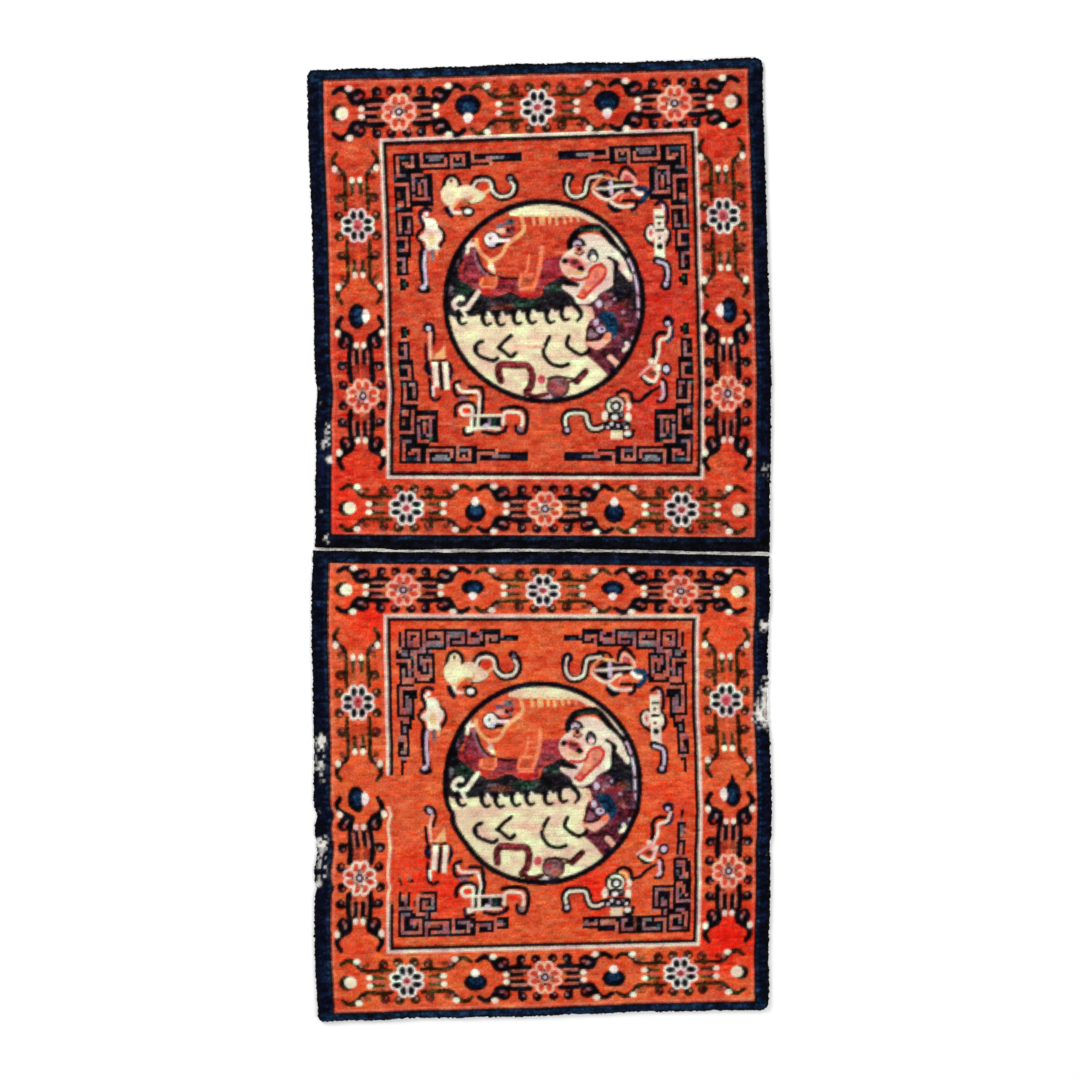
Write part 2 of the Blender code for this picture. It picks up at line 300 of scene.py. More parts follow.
class Figure:
    """A place on one square's chart where a figure is drawn in its own knots, turned and mirrored.

    Every shape is a distance from its edge, worked out for all cells near it at once, and dyes the cells
    that lie inside.
    """

    def __init__(self, chart, x, y, turn=0, flip=1, stretch=(1, 1)):
        angle = np.radians(turn)
        turned = np.array([[np.cos(angle), np.sin(angle)], [-np.sin(angle), np.cos(angle)]])
        self.chart = chart
        self.origin = np.array([x, y], float)
        self.axes = turned * [[flip * stretch[0]], [stretch[1]]]

    def at(self, x, y, turn=0, flip=1, stretch=(1, 1)):
        """A figure placed in this one's knots."""
        middle = np.array([x, y], float) @ self.axes + self.origin
        inner = Figure(self.chart, middle[0], middle[1], turn, flip, stretch)
        inner.axes = inner.axes @ self.axes
        return inner

    def cells(self, low, high):
        """The chart's cells round a rectangle of the figure, and where their middles lie in it: their place
        less the origin, times the axes' inverse."""
        corners = np.array([[x, y] for x in (low[0], high[0]) for y in (low[1], high[1])])
        corners = corners @ self.axes + self.origin
        size = [self.chart.shape[1], self.chart.shape[0]]
        first = np.maximum(np.floor(corners.min(0) / CELL).astype(int) - 1, 0)
        last = np.minimum(np.ceil(corners.max(0) / CELL).astype(int) + 2, size)
        last = np.maximum(last, first)
        rows, columns = np.mgrid[first[1]:last[1], first[0]:last[0]]
        middles = (np.stack([columns, rows], -1) + 0.5) * CELL
        here = (middles - self.origin) @ np.linalg.inv(self.axes)
        return (slice(first[1], last[1]), slice(first[0], last[0])), here

    def dye(self, where, inside, tint, share=1.0):
        """Takes each cell towards a dye by how far inside the shape it lies: half way at its edge, and all
        the way, or the share of it, from half a cell in."""
        cover = np.clip(0.5 + inside / CELL, 0, 1)[..., None] * share
        self.chart[where] += cover * (TINTS[tint] - self.chart[where])

    def ball(self, tint, x, y, across, along=None, share=1.0):
        """A round or oval by its half sizes: inside is 1 less the distance as a share of them."""
        along = along or across
        where, here = self.cells((x - across - 1, y - along - 1), (x + across + 1, y + along + 1))
        far = np.hypot((here[..., 0] - x) / across, (here[..., 1] - y) / along)
        self.dye(where, (1 - far) * min(across, along), tint, share)

    def balls(self, *rows, share=1.0):
        """Several balls, each given by its dye, its place and its half sizes."""
        for row in rows:
            self.ball(*row, share=share)

    def box(self, tint, left, foot, right, head, share=1.0):
        """A rectangle: inside is the distance to its nearest side."""
        where, here = self.cells((left - 1, foot - 1), (right + 1, head + 1))
        x, y = here[..., 0], here[..., 1]
        inside = np.minimum(np.minimum(x - left, right - x), np.minimum(y - foot, head - y))
        self.dye(where, inside, tint, share)

    def line(self, tint, width, *points, smooth=True, share=1.0):
        """A stroke along a curve, of one width or one for each point: inside is half the width there less
        the distance to the curve."""
        spine = curve(points) if smooth else np.asarray(points, float)
        wide = np.broadcast_to(np.asarray(width, float), (len(points),))
        wide = np.interp(np.linspace(0, 1, len(spine)), np.linspace(0, 1, len(points)), wide)
        reach = wide.max() / 2 + 1
        where, here = self.cells(spine.min(0) - reach, spine.max(0) + reach)
        part, gap = off_spans(here, spine[:-1], np.diff(spine, axis=0))
        half = (wide[:-1] + part * np.diff(wide)) / 2
        self.dye(where, (half - gap).max(-1), tint, share)

    def patch(self, tint, *points, smooth=True, share=1.0):
        """A closed shape: the distance to its outline, and inside it where a ray to the right crosses the
        outline an odd number of times."""
        start = curve(points, closed=True) if smooth else np.asarray(points, float)
        where, here = self.cells(start.min(0) - 1, start.max(0) + 1)
        end = np.roll(start, -1, axis=0)
        step = end - start
        gap = off_spans(here, start, step)[1].min(-1)
        y = here[..., None, 1]
        over = (start[:, 1] > y) != (end[:, 1] > y)
        x = start[:, 0] + (y - start[:, 1]) * step[:, 0] / np.where(step[:, 1] == 0, 1, step[:, 1])
        odd = (over & (here[..., None, 0] < x)).sum(-1) % 2 == 1
        self.dye(where, np.where(odd, gap, -gap), tint, share)

    def batch(self, tint, x, y, reach, share):
        """A batch of red wool of another shade: a bell round a place, on the madder cells only."""
        where, here = self.cells((x - 2 * reach, y - 2 * reach), (x + 2 * reach, y + 2 * reach))
        far = np.hypot(here[..., 0] - x, here[..., 1] - y)
        red, green = self.chart[where][..., :1], self.chart[where][..., 1:2]
        cover = share * bell(far, reach)[..., None] * ((red > MADDER_RED) & (green < MADDER_GREEN))
        self.chart[where] += cover * (TINTS[tint] - self.chart[where])


# Petals of a rosette in its first quarter: across, along, and its own half sizes
PETALS = ((1.3, 3.6, 1.0, 1.5), (3.4, 1.4, 1.5, 1.0))
QUARTERS = ((1, 1), (1, -1), (-1, 1), (-1, -1))


def flower(fig, white, eye, rim):
    """An eight-petalled rosette: petals mirrored into four quarters, each rimmed and parted by the pale
    yarn, round a small dark or red eye."""
    rim, petal = ("white", "ink") if white else (rim, "red")
    for x, y, across, along in PETALS:
        for side, end in QUARTERS:
            fig.ball(rim, side * x, end * y, across + 0.85, along + 0.85)
    fig.ball(rim, 0, 0, 4.6)
    for x, y, across, along in PETALS:
        for side, end in QUARTERS:
            fig.ball(petal, side * x, end * y, across + 0.15 * white, along + 0.15 * white)
            fig.ball("mauve" if white else "brick", side * x * 0.55, end * y * 0.55, 0.6, share=0.5)
    if white:
        fig.ball("rose", 0, 0, 1.9 * eye, 1.8 * eye)
        fig.ball("crimson", -0.3, 0.2, 1.0, 0.9, share=0.7)
    else:
        for x, y in ((0, 2.6), (0, -2.6), (2.6, 0), (-2.6, 0)):
            fig.ball("maroon", x, y, 0.5)
        fig.ball("black", 0, 0, 1.45)
        fig.ball("lilac", 0, 0, 0.6)
        fig.ball("white", -1.7, -1.4, 0.6)
        fig.ball("olive", -1.7, 1.5, 0.7, share=0.6)
        fig.ball("olive", 1.9, 0.2, 0.6, share=0.6)


def hook(fig, tint, core, x, y, lean):
    """A curled tendril: a small dark ball with a paler middle, on a short stem leaning to its sheath."""
    fig.line(tint, 1.1, (x + 0.7 * lean, y - 2.8), (x + 1.1 * lean, y - 1.2), (x + 0.6 * lean, y))
    fig.ball(tint, x, y, 1.7, 1.75)
    fig.ball(core, x - 0.5 * lean, y - 0.4, 0.45, 0.5)


def pink_side(fig, reach):
    """The sheath, arm and hooks on one side of a pink flower, in bold black."""
    arm = ((5.2, 3.8), (8.0, 4.0), (reach - 1.0, 3.5), (reach + 2.4, 3.5), (reach + 3.6, 5.2),
           (reach + 4.8, 7.2), (reach + 7.2, 8.0), (reach + 9.4, 6.7))
    fig.line("black", (2.2, 2.4, 2.3, 2.5, 2.7, 2.5, 2.1, 1.8), *arm)
    fig.ball("black", reach + 1.1, 5.9, 2.5, 2.2)
    fig.ball("heather", reach + 1.6, 4.9, 0.8, 0.5)
    fig.ball("brick", reach + 0.3, 5.6, 0.6, 0.5)
    hook(fig, "black", "brick", 0.215 * reach, 6.9, -1)
    hook(fig, "black", "heather", 0.6 * reach, 6.9, 1)
    fig.box("maroon", 5.8, 0.4, reach - 1.0, 3.0, share=0.55)
    fig.line("black", 1.9, (reach - 5.6, 1.4), (reach - 1.2, 1.4))
    fig.line("rosewood", 0.8, (reach - 6.4, 2.6), (reach - 2.2, 2.5))
    fig.ball("ivory", reach + 0.1, 1.3, 1.0, 0.9)
    fig.ball("ivory", reach + 4.2, 8.0, 1.15, 1.0)


def white_side(fig, reach):
    """The sheath, arm and hooks on one side of a white flower, in thin olive."""
    arm = ((5.2, 4.0), (8.0, 4.1), (reach - 1.0, 3.9), (reach + 1.6, 4.0), (reach + 2.8, 5.0),
           (reach + 4.2, 6.8), (reach + 7.0, 7.9), (reach + 9.4, 6.4))
    fig.line("olive", (1.4, 1.6, 1.5, 1.6, 2.3, 2.3, 1.8, 1.4), *arm)
    fig.line("dark", (1.2, 2.2, 1.8), (reach + 1.8, 4.4), (reach + 2.9, 5.6), (reach + 3.8, 6.9), share=0.6)
    fig.ball("rosewood", reach + 2.6, 6.1, 0.7)
    fig.ball("olive", reach + 0.9, 6.1, 1.2, 1.0, share=0.7)
    hook(fig, "olive", "clay", 0.215 * reach, 6.8, -1)
    hook(fig, "olive", "brick", 0.61 * reach, 6.2, 1)
    fig.ball("maroon", 0.6 * reach, 7.3, 1.0, 0.8, share=0.8)
    fig.box("brown", 5.8, 0.6, reach - 1.4, 3.2, share=0.3)
    fig.ball("moss", reach - 1.2, 1.5, 1.1)
    fig.line("moss", 1.2, (reach - 4.6, 1.5), (reach - 1.0, 1.5))
    fig.ball("ivory", reach + 0.1, 1.45, 1.05, 0.9)
    fig.ball("ivory", reach + 4.0, 7.5, 1.15, 1.0)


def unit(fig, white, before, after, eye=1.0, rim="pink"):
    """One flower with a sheath at each side, the pair of buds that ends each sheath, and the arms that
    swing out beyond to hold the next opening. before and after are how far off the pairs stand."""
    draw_side = white_side if white else pink_side
    for reach, way in ((before, -1), (after, 1)):
        half = fig.at(0, 0, stretch=(way, 1))
        for side in (1, -1):
            draw_side(half.at(0, 0, stretch=(1, side)), reach)
        if white:
            half.ball("rose", reach - 3.0, 0, 1.4, 0.6, share=0.7)
        else:
            half.line("rosewood", 0.7, (reach - 4.6, 0.1), (reach - 0.9, 0.1))
            half.ball("orange", 6.2, -0.3, 1.2, 1.3, share=0.45)
    flower(fig, white, eye, rim)


def blue_ball(fig, tip=1.0, point=0):
    """The indigo ball in its opening, with an ivory tip into the rug and a short black point outward."""
    fig.line("black", (4.4, 0.6), (-2.4, 1.4), (-4.2 - point, 1.4), smooth=False)
    fig.ball("black", 0, 1.4, 4.45, 3.8)
    fig.ball("navy", 0, 1.5, 3.1, 2.7)
    fig.ball("blue", 0.3, 0.6, 2.4, 1.8, share=0.45)
    fig.ball("white", 0, -2.5, 1.6 * tip, 1.4)
    fig.ball("white", 0, -3.2, 1.1 * tip, 1.2)


def corner_bud(fig):
    """An ivory bud with the olive shadow of its calyx on the corner's side."""
    fig.ball("olive", -1.2, 0.2, 2.6, 2.7)
    fig.ball("black", -1.7, 0.1, 1.7, 1.9, share=0.6)
    fig.ball("ivory", 0.2, 0, 2.0, 2.1)
    fig.ball("cream", 0.6, -0.1, 1.3, share=0.7)


def gourd(fig):
    """The double gourd, with a ribbon curling off to the right and tassels below."""
    fig.line("black", 1.5, (-5.4, 2.4), (-4.6, 5.2), (-2.6, 6.4), (-0.6, 5.6), (0.1, 3.4))
    fig.line("black", 1.3, (3.2, -2.6), (5.6, -2.2), (7.8, -1))
    fig.line("black", 3, (4.4, 2.6), (5.6, 4.6), (8.1, 5.3), (10.5, 4.2), (11.2, 1.2), (13, -0.8),
        (15.6, -0.9), (17.8, 0.2), (18.5, 2.8), (17.4, 4.9))
    fig.ball("red", 8.2, 2.6, 2, 1.8)
    fig.ball("stain", 8.4, 2.6, 1.2, 0.9, share=0.6)
    fig.line("peach", 0.95, (5.4, 0), (8.2, 0.4), (10.2, 1.6))
    fig.line("ivory", 0.85, (4.4, 2.2), (5.6, 4.2), (8.1, 4.8), (10.2, 4), (10.9, 1.2), (12.9, -0.7),
        (15.6, -0.8), (17.4, 0.2), (18.1, 2.4), (17.2, 3.8))
    fig.balls(("black", 16.8, 5.4, 1.5, 1.4), ("grey", 17, 5, 0.6), ("red", 14.6, 2.2, 1.9, 1.8),
        ("cream", -3.1, 0.2, 3.2, 3.5), ("cream", -2.5, 3.6, 1.9, 2.2), ("brown", -2.7, 4.8, 0.6),
        ("cream", 2.2, 0.5, 3.5, 2.8))
    fig.patch("cream", (3, 2.8), (5.6, 1.8), (8.6, -0.4), (6, -2.4), (3, -2.2))
    fig.line("peach", 1.05, (-2.6, -3.8), (0, -1.6), (2.8, -1.8), (4, -0.6))
    fig.ball("brown", 1.8, -1.9, 1.3, 0.6, share=0.6)
    fig.patch("navy", (-5.6, -3.8), (-3.6, -3.8), (-2.2, -6.4), (-3.2, -7.6), (-4.8, -6))
    fig.line("ivory", 0.95, (-3.2, -4), (-2.2, -5.6), (-0.2, -5.8))
    fig.line("pink", 0.85, (-0.2, -5.8), (1.6, -5.7))
    fig.line("black", 1, (0.2, -4.3), (2.6, -4))
    fig.balls(("black", 2.7, -5.6, 2.3, 1.8), ("white", 2.5, -5.5, 1.2, 0.8))


def fan(fig):
    """The fan, its ribbon looped off to the left and its tassels hanging at the right."""
    looped = ((-13, 3.4), (-13.7, 1.4), (-13.4, -1.4), (-12, -3), (-9.8, -3.1), (-7.8, -2), (-7.1, 0.6),
              (-6.3, 2.7), (-4.4, 3.2), (-2, 3.4))
    fig.line("black", 3.1, *looped)
    fig.line("ivory", 0.85, *looped)
    fig.ball("red", -10.6, -0.4, 1.9, 1.9)
    fig.line("navy", 1.4, (-14.6, 1), (-14.3, 3.3), (-13.1, 4.2), (-11.8, 3.8), (-11.8, 2.8))
    fig.line("black", 1.2, (-2.6, 5), (0.4, 4.6), (1.8, 3.2))
    fig.patch("black", (-4, -0.4), (-1.9, 1.7), (1.5, 2.1), (5.7, 1.9), (8, 1.4), (8.6, -0.1), (7.4, -1.8),
        (4.8, -2.2), (2.3, -2.2), (0.4, -3.8), (-1.6, -3.4), (-3.8, -1.6))
    fig.line("peach", 0.75, (-5.2, -0.8), (-3.9, 1.4), (-1.8, 2.9), (0.4, 2.6), (2.6, 2.2), (4.8, 2))
    fig.line("ivory", 0.85, (-5, -1.6), (-3, -3.3), (-0.8, -4.3), (1.3, -4), (3.2, -2.5), (4.6, -2))
    fig.line("ivory", 0.75, (-3.9, -0.7), (0.5, -0.6))
    fig.line("ivory", 0.75, (0.5, -0.3), (8.6, 0.1))
    fig.line("lilac", 1.15, (1, 1.3), (1.1, -2.5))
    fig.line("black", 1.5, (3.8, 2.6), (4.6, 5), (6.2, 6), (7.8, 5), (9, 3.2))
    fig.line("pink", 1.05, (4.8, 2.5), (5.7, 4.2), (7.2, 3.6), (9.2, 1.4), (9, -1))
    fig.ball("rose", 6.6, 2.7, 1.2, 0.8)
    fig.line("teal", 2, (9.6, -1), (12.4, -1.4), (12.6, -3.4), (10.6, -5.4))
    fig.line("white", 1.15, (8.4, -1.6), (9.8, -2.6), (11.2, -2.8))
    fig.line("coral", 0.75, (4, -4.4), (5, -3), (7, -2.8))
    fig.line("black", 1.2, (4.8, -5), (8.2, -5))
    fig.line("navy", 2, (0.4, -6.4), (1.8, -7.8), (3.4, -7.6))
    fig.line("ivory", 0.95, (0.8, -5.2), (2.6, -6.4), (5.6, -6.8), (8, -6.6))
    fig.line("black", 1.4, (9.4, -5), (9, -7.2), (7.6, -8))


def lozenge(fig):
    """The lozenge on its stem, with a long ribbon hanging down from it."""
    fig.line("black", 1.3, (-2.4, 2.4), (-4, 1.2), (-4.6, -0.6), (-3.4, -2.2), (-2.8, -4.6))
    fig.line("black", 1.3, (2.4, 2.8), (4.1, 1), (4.3, -1.6), (2.9, -3.8))
    fig.line("navy", 1.5, (0.2, 8.4), (-1.6, 9), (-3.2, 7.8), (-3.3, 5.4), (-2.4, 3.4))
    fig.ball("white", -1.3, 7, 0.7)
    fig.line("white", 0.75, (-2.4, 6.3), (-1.5, 4.8))
    fig.patch("ivory", (-1.4, 5.5), (1.2, 5.4), (2.2, 3.4), (2.5, 2.2), (3.7, 0.8), (3.5, -1.3),
        (2.2, -2.8), (2.5, -4.9), (0.3, -5.1), (-1.8, -4.9), (-1.8, -2.4), (-3.9, -0.7), (-2.2, 1),
        (-1.7, 3))
    fig.ball("yellow", 0.2, -1.2, 1.2, 2.2, share=0.7)
    fig.line("grey", 1.2, (0.4, -5.2), (0.3, -8.2))
    fig.line("peach", 0.75, (1.9, -5), (1.8, -6.6))
    fig.line("black", 2.8, (-2.8, -5.4), (-3, -9.4), (-2.7, -13.4), (-2.4, -16.6), (-3.4, -18))
    fig.line("lilac", 0.95, (-1.9, -5.4), (-2.4, -9.4), (-2.1, -13.2), (-2, -16.2), (-3.2, -17.4))
    fig.balls(("black", -2.6, -18.2, 2.2, 1.4), ("lilac", -3, -17.3, 1, 0.7))


def ladder(fig):
    """The tall ivory emblem with its dark rungs, between curling cords."""
    fig.line("black", 1.3, (-1.8, 2.8), (-4.2, 2.4), (-5.1, 0), (-4.4, -2.2), (-2.4, -4))
    fig.balls(("ivory", -3.2, 0.1, 1.5, 2.4), ("rose", -3.2, 0.1, 0.6, 1.2))
    fig.line("black", 1.4, (1.6, 2.4), (3.1, 0.2), (2.9, -2), (1.8, -3.9))
    fig.line("navy", 1.4, (-1.3, 9.4), (0.4, 10.4), (2.2, 9), (2.6, 6), (2.2, 3.4))
    fig.line("lilac", 0.75, (0.9, 9), (1.3, 7.6))
    fig.box("ivory", -2, -8.3, 1.3, 7.8)
    fig.ball("ivory", 1.6, -0.4, 0.9, 1.9)
    for row in (5.2, 1):
        fig.line("black", 1, (-1.2, row), (0.8, row))
    fig.balls(("black", -0.4, 3.2, 0.6), ("maroon", -0.4, -1.5, 0.6), ("black", -0.3, -4.3, 1.1, 1.1))
    fig.line("black", 3, (-1.4, -8.8), (0.6, -9.6), (1.9, -10.8), (2, -14), (1.4, -16.6))
    fig.line("lilac", 0.85, (-1.2, -9.2), (0.8, -9.8), (1.9, -10.8), (2.1, -14), (1.6, -16))
    fig.balls(("black", 1.2, -17.2, 2, 1.6), ("lilac", 1.3, -16.6, 0.7))


def drum(fig):
    """The drum of pale and dark bars, hung by a cord from a knot at the top."""
    fig.balls(("navy", -3, 15.2, 2.1, 1.9), ("lilac", -3.1, 15, 0.8))
    fig.line("black", 1.2, (-1.4, 14.6), (-1.2, 12.4), (-1.5, 10))
    fig.line("black", 1.2, (-4, 9.6), (-4, 4.8))
    fig.line("pink", 0.95, (-2.6, 13.6), (-2.6, 5.2))
    fig.patch("peach", (2.4, 9.4), (2.4, 4.8), (-2, 4.8), smooth=False)
    fig.line("black", 1, (-1.9, 4.2), (0, 3.9), (2.3, 4.4))
    fig.line("navy", 2, (-3.6, 3.4), (-4, 1.6), (-3.2, 0.2))
    fig.line("navy", 1.4, (3.6, 3.2), (4.2, 1), (3.5, -1.8))
    fig.box("ivory", -2.1, -4.4, -0.2, 3.8)
    fig.box("ivory", 1.4, -5.4, 3.1, 3.6)
    fig.box("black", -0.2, -5.6, 1.3, 3.3)
    fig.ball("blue", -2.9, 1.4, 0.7, share=0.7)
    fig.line("black", 1.3, (-3.3, -2), (-3.2, -6), (-3, -8), (-1.8, -9), (-0.2, -8.3))
    fig.line("white", 0.75, (-2.4, -4.6), (-2.3, -7.2))


def lotus(fig):
    """The lotus stem, bent over from its bud, with ribbons crossed below."""
    fig.balls(("navy", 4.1, 15.2, 2, 2.1), ("lilac", 3.9, 14.6, 0.7))
    fig.line("black", 1.5, (3.2, 11.5), (0.6, 11.4), (-0.9, 9.2), (-0.8, 5.6), (-1.3, 3.2))
    fig.line("teal", 1.2, (5.4, 12.6), (5.3, 10), (3.6, 8.6))
    fig.line("ivory", 0.95, (4.7, 13.2), (4.3, 11.1), (3.4, 9.8), (1.1, 8.9), (0.8, 5.6), (-0.2, 2.9),
        (-0.7, 1.5))
    fig.line("black", 1.6, (-5.2, -2.8), (-3.4, -4.9), (-1.6, -4.8))
    fig.line("pink", 0.95, (-5.8, -2), (-2, 0.8), (0.2, -1.6))
    fig.line("ivory", 1.05, (-4.4, -2.8), (-2.6, -4), (-0.9, -4.1), (0.2, -1.6))
    fig.balls(("brown", -1.7, -1.6, 1.3, 0.8), ("ivory", -2, 2.3, 0.9), ("ivory", 0.3, 0.2, 1),
        ("black", 3, -0.3, 1.8, 2.2), ("lilac", 3, -0.3, 1, 1.1))
    fig.line("black", 1.2, (1.6, -3.4), (2.8, -5), (2.9, -9), (2, -10.8), (0, -10.8))
    fig.line("lilac", 0.85, (1.5, -4.8), (1.8, -8.8), (1, -10))
    fig.line("black", 1.1, (0.5, -6), (-1.8, -7.4), (-3.4, -8.8), (-5.8, -10.8), (-8.3, -10.4))


def sword(fig):
    """The sword in its banded scabbard, with a ribbon curling round at each side."""
    fig.line("black", 1.5, (-7.2, 12), (-9, 11), (-9.2, 8.4), (-7.8, 6.9), (-3.4, 7.1))
    fig.line("black", 1.5, (-4, 10), (-1.4, 9.9), (0.3, 8.8), (0.4, 1.2))
    fig.line("ivory", 0.95, (-8.1, 10.5), (-7.2, 8.8), (-4.6, 8.4), (-1.8, 8.4), (-0.9, 6.9), (-0.8, 3.8),
        (-0.8, 0.6))
    fig.balls(("mauve", -6.1, 6.2, 1.7, 0.9), ("orange", -3.2, 6, 1.6, 0.8))
    fig.line("black", 1.5, (-8.4, 0.6), (-8.6, 3.4), (-6.4, 4.9), (-3.6, 4.7), (-1.9, 3), (-1.9, 1.2))
    fig.line("ivory", 0.95, (-6.9, 2.2), (-6.2, 3.4), (-3.6, 3.4), (-2.8, 1.4), (-3.6, 0.7), (-6, 0.8),
        (-6.9, 2.2))
    fig.ball("stain", -4.9, 2.1, 1.2, 0.9)
    fig.box("black", -3.4, -3.6, 7, 0.2)
    for column, tint in ((-3, "ivory"), (-0.9, "ivory"), (3, "grey"), (4.6, "green")):
        fig.line(tint, 0.9, (column, 0.2), (column, -3.4))
    fig.line("ivory", 0.75, (-3.4, 0.5), (7.2, 0.5))
    fig.line("ivory", 0.95, (-4, -4.1), (1, -3.7), (6.2, -3.9))
    fig.balls(("lilac", 2, -3.1, 1, 0.8), ("ivory", -3.9, -4.2, 1.4, 1))
    fig.line("navy", 1.3, (-5.6, -3.8), (-5.2, -6), (-2.6, -5.4))
    fig.line("black", 1.5, (1, -5), (4, -5.6), (7.6, -4.9), (8.6, -3.4))
    fig.line("black", 1.5, (6.6, 2.6), (9, 3.1), (13, 3), (15.3, 1.2), (15.4, -3), (14.4, -5.4), (12.2, -5),
        (11.8, -3))
    fig.line("ivory", 0.95, (7.5, -2.4), (7.8, 1.1), (10, 1.6), (13.4, 0.9), (14, -1.8), (13.4, -3.8))
    fig.balls(("grey", 13.2, -4, 0.9), ("stain", 10.6, -0.2, 1.6, 0.7))


def basket(fig):
    """The basket of blossoms, with a ribbon off to the left."""
    fig.line("black", 3, (-16.6, -3.6), (-17.2, -0.8), (-16.2, 1.2), (-13, 1.6), (-10.2, 1), (-9.4, -1.8),
        (-8.4, -3.6), (-6.4, -3.9), (-4.6, -3.2))
    fig.ball("red", -13.4, -1, 1.8, 1.6)
    fig.line("ivory", 0.85, (-16.8, -2.8), (-17, -0.6), (-16, 0.9), (-13, 1.3), (-10.4, 0.8), (-9.5, -1.8),
        (-8.4, -3.6), (-6.4, -3.9), (-4.6, -3.2))
    fig.balls(("black", -16.6, -4.6, 1.8, 1.6), ("lilac", -16.4, -4.2, 0.7))
    fig.line("black", 1.4, (0.2, 7.8), (2.2, 8.8), (4.6, 7.6), (5.2, 4.8))
    fig.line("peach", 0.95, (1.2, 7), (2.8, 6.9), (3.7, 4.8))
    fig.balls(("black", -0.6, 3.9, 3.6, 3.3), ("ivory", -0.4, 3.7, 2.8, 2.6), ("black", -0.3, 3.6, 2, 1.9),
        ("white", -0.3, 3.5, 0.85))
    fig.line("green", 0.7, (-2.4, 5.2), (-1.4, 4.4))
    fig.balls(("ivory", 3.9, 3.4, 1, 1.3), ("stain", 2.8, 3.1, 0.7), ("black", -0.2, 0.4, 3.2, 1.5),
        ("white", -0.5, 0, 1, 0.8), ("grey", 1.6, 0.6, 0.6), ("ivory", -3.9, 0.4, 1, 1.5),
        ("ivory", 3.9, -0.2, 1, 1.6))
    fig.patch("black", (-3.8, -1.4), (0.2, -1.2), (4.4, -1.4), (4.6, -3.8), (2.6, -4.8), (-2.2, -4.6),
        (-4.2, -3.2))
    fig.balls(("white", -1.6, -2.2, 0.5), ("lilac", 0.6, -2.9, 0.5), ("grey", 2.4, -2.2, 0.5),
        ("lilac", -2.8, -3.4, 0.5), ("white", 3.4, -3.4, 0.5), ("green", -0.6, -3.8, 0.5))
    fig.line("black", 1.5, (2.6, -6.4), (4.8, -6.6), (5.6, -4.6))
    fig.ball("white", 3.7, -5.4, 1.1, 0.8)
    fig.box("cream", -1.9, -7.2, 2, -4.6)
    fig.line("black", 1, (5.2, 5.2), (7.8, 5.4), (9.5, 7.2), (11.2, 8.4))


# Where the roundel's dark grounds were knotted with odd lengths of yarn: dye, place and half sizes
FLECKS = (
    ("navy", -29.5, 12.5, 2.4, 3.4), ("green", -26.5, 4.5, 3.2, 2), ("plum", -24, 12.5, 2, 3),
    ("brown", -14, -1.6, 4, 1), ("green", -6, -0.6, 4.6, 1.4), ("black", 4, 0.6, 3.4, 2.2),
    ("green", 3.6, 4.2, 2.6, 1.2), ("plum", 11.5, -3, 3, 0.9), ("navy", 24.8, 1.4, 2.2, 2.4),
    ("dark", 20.8, -1.6, 2.4, 1), ("wine", 24.6, -2.6, 3.4, 0.9), ("dark", 28.4, -4.6, 1.6, 2.8),
    ("wine", 30.4, -9.4, 1, 2.6), ("maroon", 27.6, -12.6, 2, 1.3), ("navy", 24.4, -15.4, 2.4, 1.2),
    ("dark", 19.6, -18, 1.6, 1.2), ("wine", 17.2, -15.6, 1.4, 0.8), ("navy", 22, -21.5, 1.6, 1.6),
    ("teal", 28.6, -0.4, 1.2, 1), ("mauve", 22.2, 1.8, 1, 0.7), ("teal", 30.2, -7.4, 0.9, 1.4),
    ("rose", 27, -8, 0.9, 0.6), ("mauve", 26.6, -16, 0.8, 0.8), ("teal", 27.4, -19.8, 1.6, 1.6),
    ("grey", -31, 4, 0.9, 1.6), ("mauve", -28.6, 13.6, 0.8, 1.4), ("grey", 0.6, 4.4, 1.2, 0.6),
    ("black", -29.6, 8.6, 1.6, 2.4), ("black", -26, 11, 0.8, 2.6), ("dark", -24.4, 16, 0.8, 1.4),
    ("black", -23.6, 7.2, 2.6, 1), ("dark", -12.4, 5.2, 3, 0.8), ("maroon", 1.6, 8.6, 2.4, 1.2),
    ("navy", 23.2, -22.6, 2.6, 3.6), ("teal", 28.2, -15.8, 1.4, 2.4), ("black", 20.4, -16.6, 1.8, 1),
    ("brown", 16.8, -19.8, 1.6, 1.4), ("black", 29.4, -10.4, 1.6, 2.4), ("brown", 27.2, -1, 2.6, 1.4),
    ("black", 24, -0.4, 1.2, 1), ("brown", 25.6, -6.6, 2.4, 1), ("black", 25.8, -9.6, 1.2, 1.6),
    ("lilac", 26.2, -3.8, 0.6, 0.5), ("lilac", 23.4, 0.4, 0.5, 0.5), ("grey", 29, -2.4, 0.7, 0.5),
    ("lilac", 29.2, -12.4, 0.6, 0.6), ("coral", 20.6, -2.4, 0.6, 0.5), ("grey", -17.6, -0.4, 1.4, 0.5),
    ("grey", 7.4, 4.4, 1, 0.7), ("mauve", 26, 10.6, 0.9, 1.1),
)
# The roundel's circle, its black ring, and the painted highlight inside the ring at its head, a thin indigo
# glint, in knots; how far from its middle the drawing may run; and the ring's straight pieces, with those
# that have the glint
ROUNDEL_RADIUS, RING_RADIUS, GLINT_RADIUS = 33.2, 32.9, 32.3
ROUNDEL_REACH = 100
RING_STEPS = 72
GLINT_STEPS = slice(12, 30)


